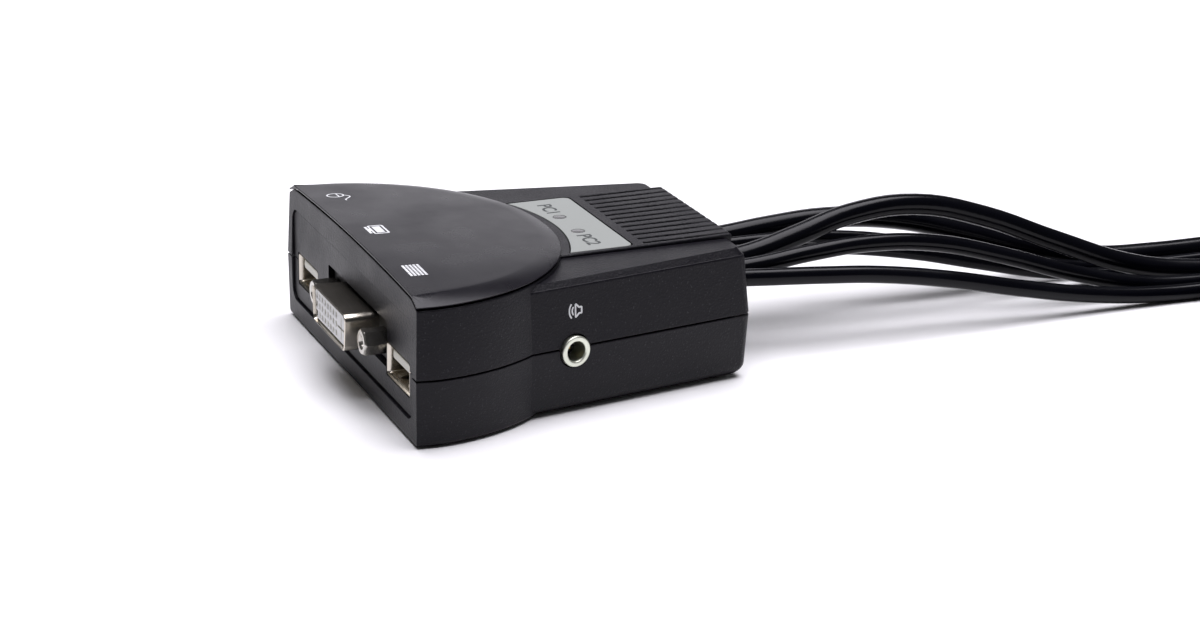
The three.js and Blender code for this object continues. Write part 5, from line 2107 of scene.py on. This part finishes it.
# ---------- inside of the case ----------
def dress_inside() -> None:
    """Gives the nodes inside the case, whose shapes stay, their own finishes."""
    finishes = {
        "circuit_board": FINISH.board, "video_switch_chip": FINISH.chip, "usb_switch_chip": FINISH.chip,
        "selector_switch": FINISH.chip, "switch_plunger": FINISH.hood, "audio_body": FINISH.chip,
        "indicator_led_1": FINISH.lens, "indicator_led_2": FINISH.lens,
    }
    for name, finish in finishes.items():
        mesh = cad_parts[name].data
        mesh.materials.clear()
        mesh.materials.append(finish.make())
        LOG.info("%s keeps its shape", name)


# ---------- studio ----------
def standing(axes: Sequence[np.ndarray], at: Sequence[float]) -> Matrix:
    """The matrix of an object with three given axes and a place."""
    turn = np.column_stack(axes)
    return Matrix([[*row, p] for row, p in zip(turn, at)] + [[0, 0, 0, 1]])


@dataclass
class Studio:
    """The plain floor, the soft lights and the camera."""

    azimuth: float = math.radians(67.73)
    elevation: float = math.radians(18.58)
    roll: float = math.radians(1.07)
    target: tuple = (0.0, 3.75, 15.4)
    distance: float = 591.4
    aside: float = 13.5
    below: float = -6.05
    lens: float = 85.344
    sky: float = 0.08
    tint: tuple = (0.96, 0.94, 1.0)

    def camera(self) -> None:
        """Places the camera to the right of the sockets, a little above the case."""
        az, el = self.azimuth, self.elevation
        back = np.array([math.sin(az) * math.cos(el), -math.cos(az) * math.cos(el), math.sin(el)])
        right = np.array([math.cos(az), math.sin(az), 0.0])
        up = np.cross(back, right)
        c, s = math.cos(self.roll), math.sin(self.roll)
        right, up = c * right + s * up, -s * right + c * up
        at = (np.array(self.target) + self.distance * back + self.aside * right + self.below * up) * MM
        data = bpy.data.cameras.new("camera")
        data.lens = self.lens
        data.sensor_width = 36.0
        data.clip_start = 0.01
        camera = add_object("camera", data)
        camera.matrix_world = standing((right, up, back), at)
        bpy.context.scene.camera = camera

    def light(self, name: str, at: tuple, aim: tuple, size: float, power: float) -> None:
        """Adds a square soft light.

        Args:
            name: its name.
            at: where it stands, in metres.
            aim: where it points, in metres.
            size: its side, in metres.
            power: its power, in watts.
        """
        data = bpy.data.lights.new(name, "AREA")
        data.color = self.tint
        data.size = size
        data.energy = power
        lamp = add_object(name, data)
        away = np.array(at) - np.array(aim)
        away /= np.linalg.norm(away)
        side = np.cross([0.0, 0.0, 1.0], away)
        side /= np.linalg.norm(side)
        lamp.matrix_world = standing((side, np.cross(away, side), away), at)

    def build(self) -> None:
        """Builds the floor, the lights and the camera."""
        scene = bpy.context.scene
        scene.view_settings.view_transform = "Standard"
        world = bpy.data.worlds.new("studio")
        world.use_nodes = True
        sky = world.node_tree.nodes["Background"]
        sky.inputs["Color"].default_value = (1, 1, 1, 1)
        sky.inputs["Strength"].default_value = self.sky
        scene.world = world
        floor = block("floor", (-9000, -9000, -20), (9000, 9000, -0.02))
        paint = Moulding("floor_paint", (0.86, 0.86, 0.86), 0.6, 300, 0.00001, 0.05, 0.0, 0.01)
        floor.data.materials.append(paint.make())
        self.light("overhead", (-0.2, 0.4, 2.6), (0, 0.3, 0), 2.6, 150)
        self.light("backdrop", (-2.3, 0.75, 0.45), (0, 0, 0.1), 1.3, 5)
        self.camera()


def main() -> None:
    """Builds the whole scene in order."""
    logging.basicConfig(level=logging.INFO, format="%(name)s: %(message)s")
    Studio().build()
    cables = [lead.build() for lead in LEADS]
    Grommet().build()
    Plugs().build()
    for lead, cable in zip(LEADS, cables):
        lead.declare(cable)
    Shells().build()
    SelectorCap().build()
    Label().build()
    for side, x in (("left", -SOCKETS.usb_x), ("right", SOCKETS.usb_x)):
        UsbSocket(side, x).build()
    VideoSocket().build()
    AudioSocket().build()
    Underside().build()
    dress_inside()


if __name__ == "__main__":
    main()
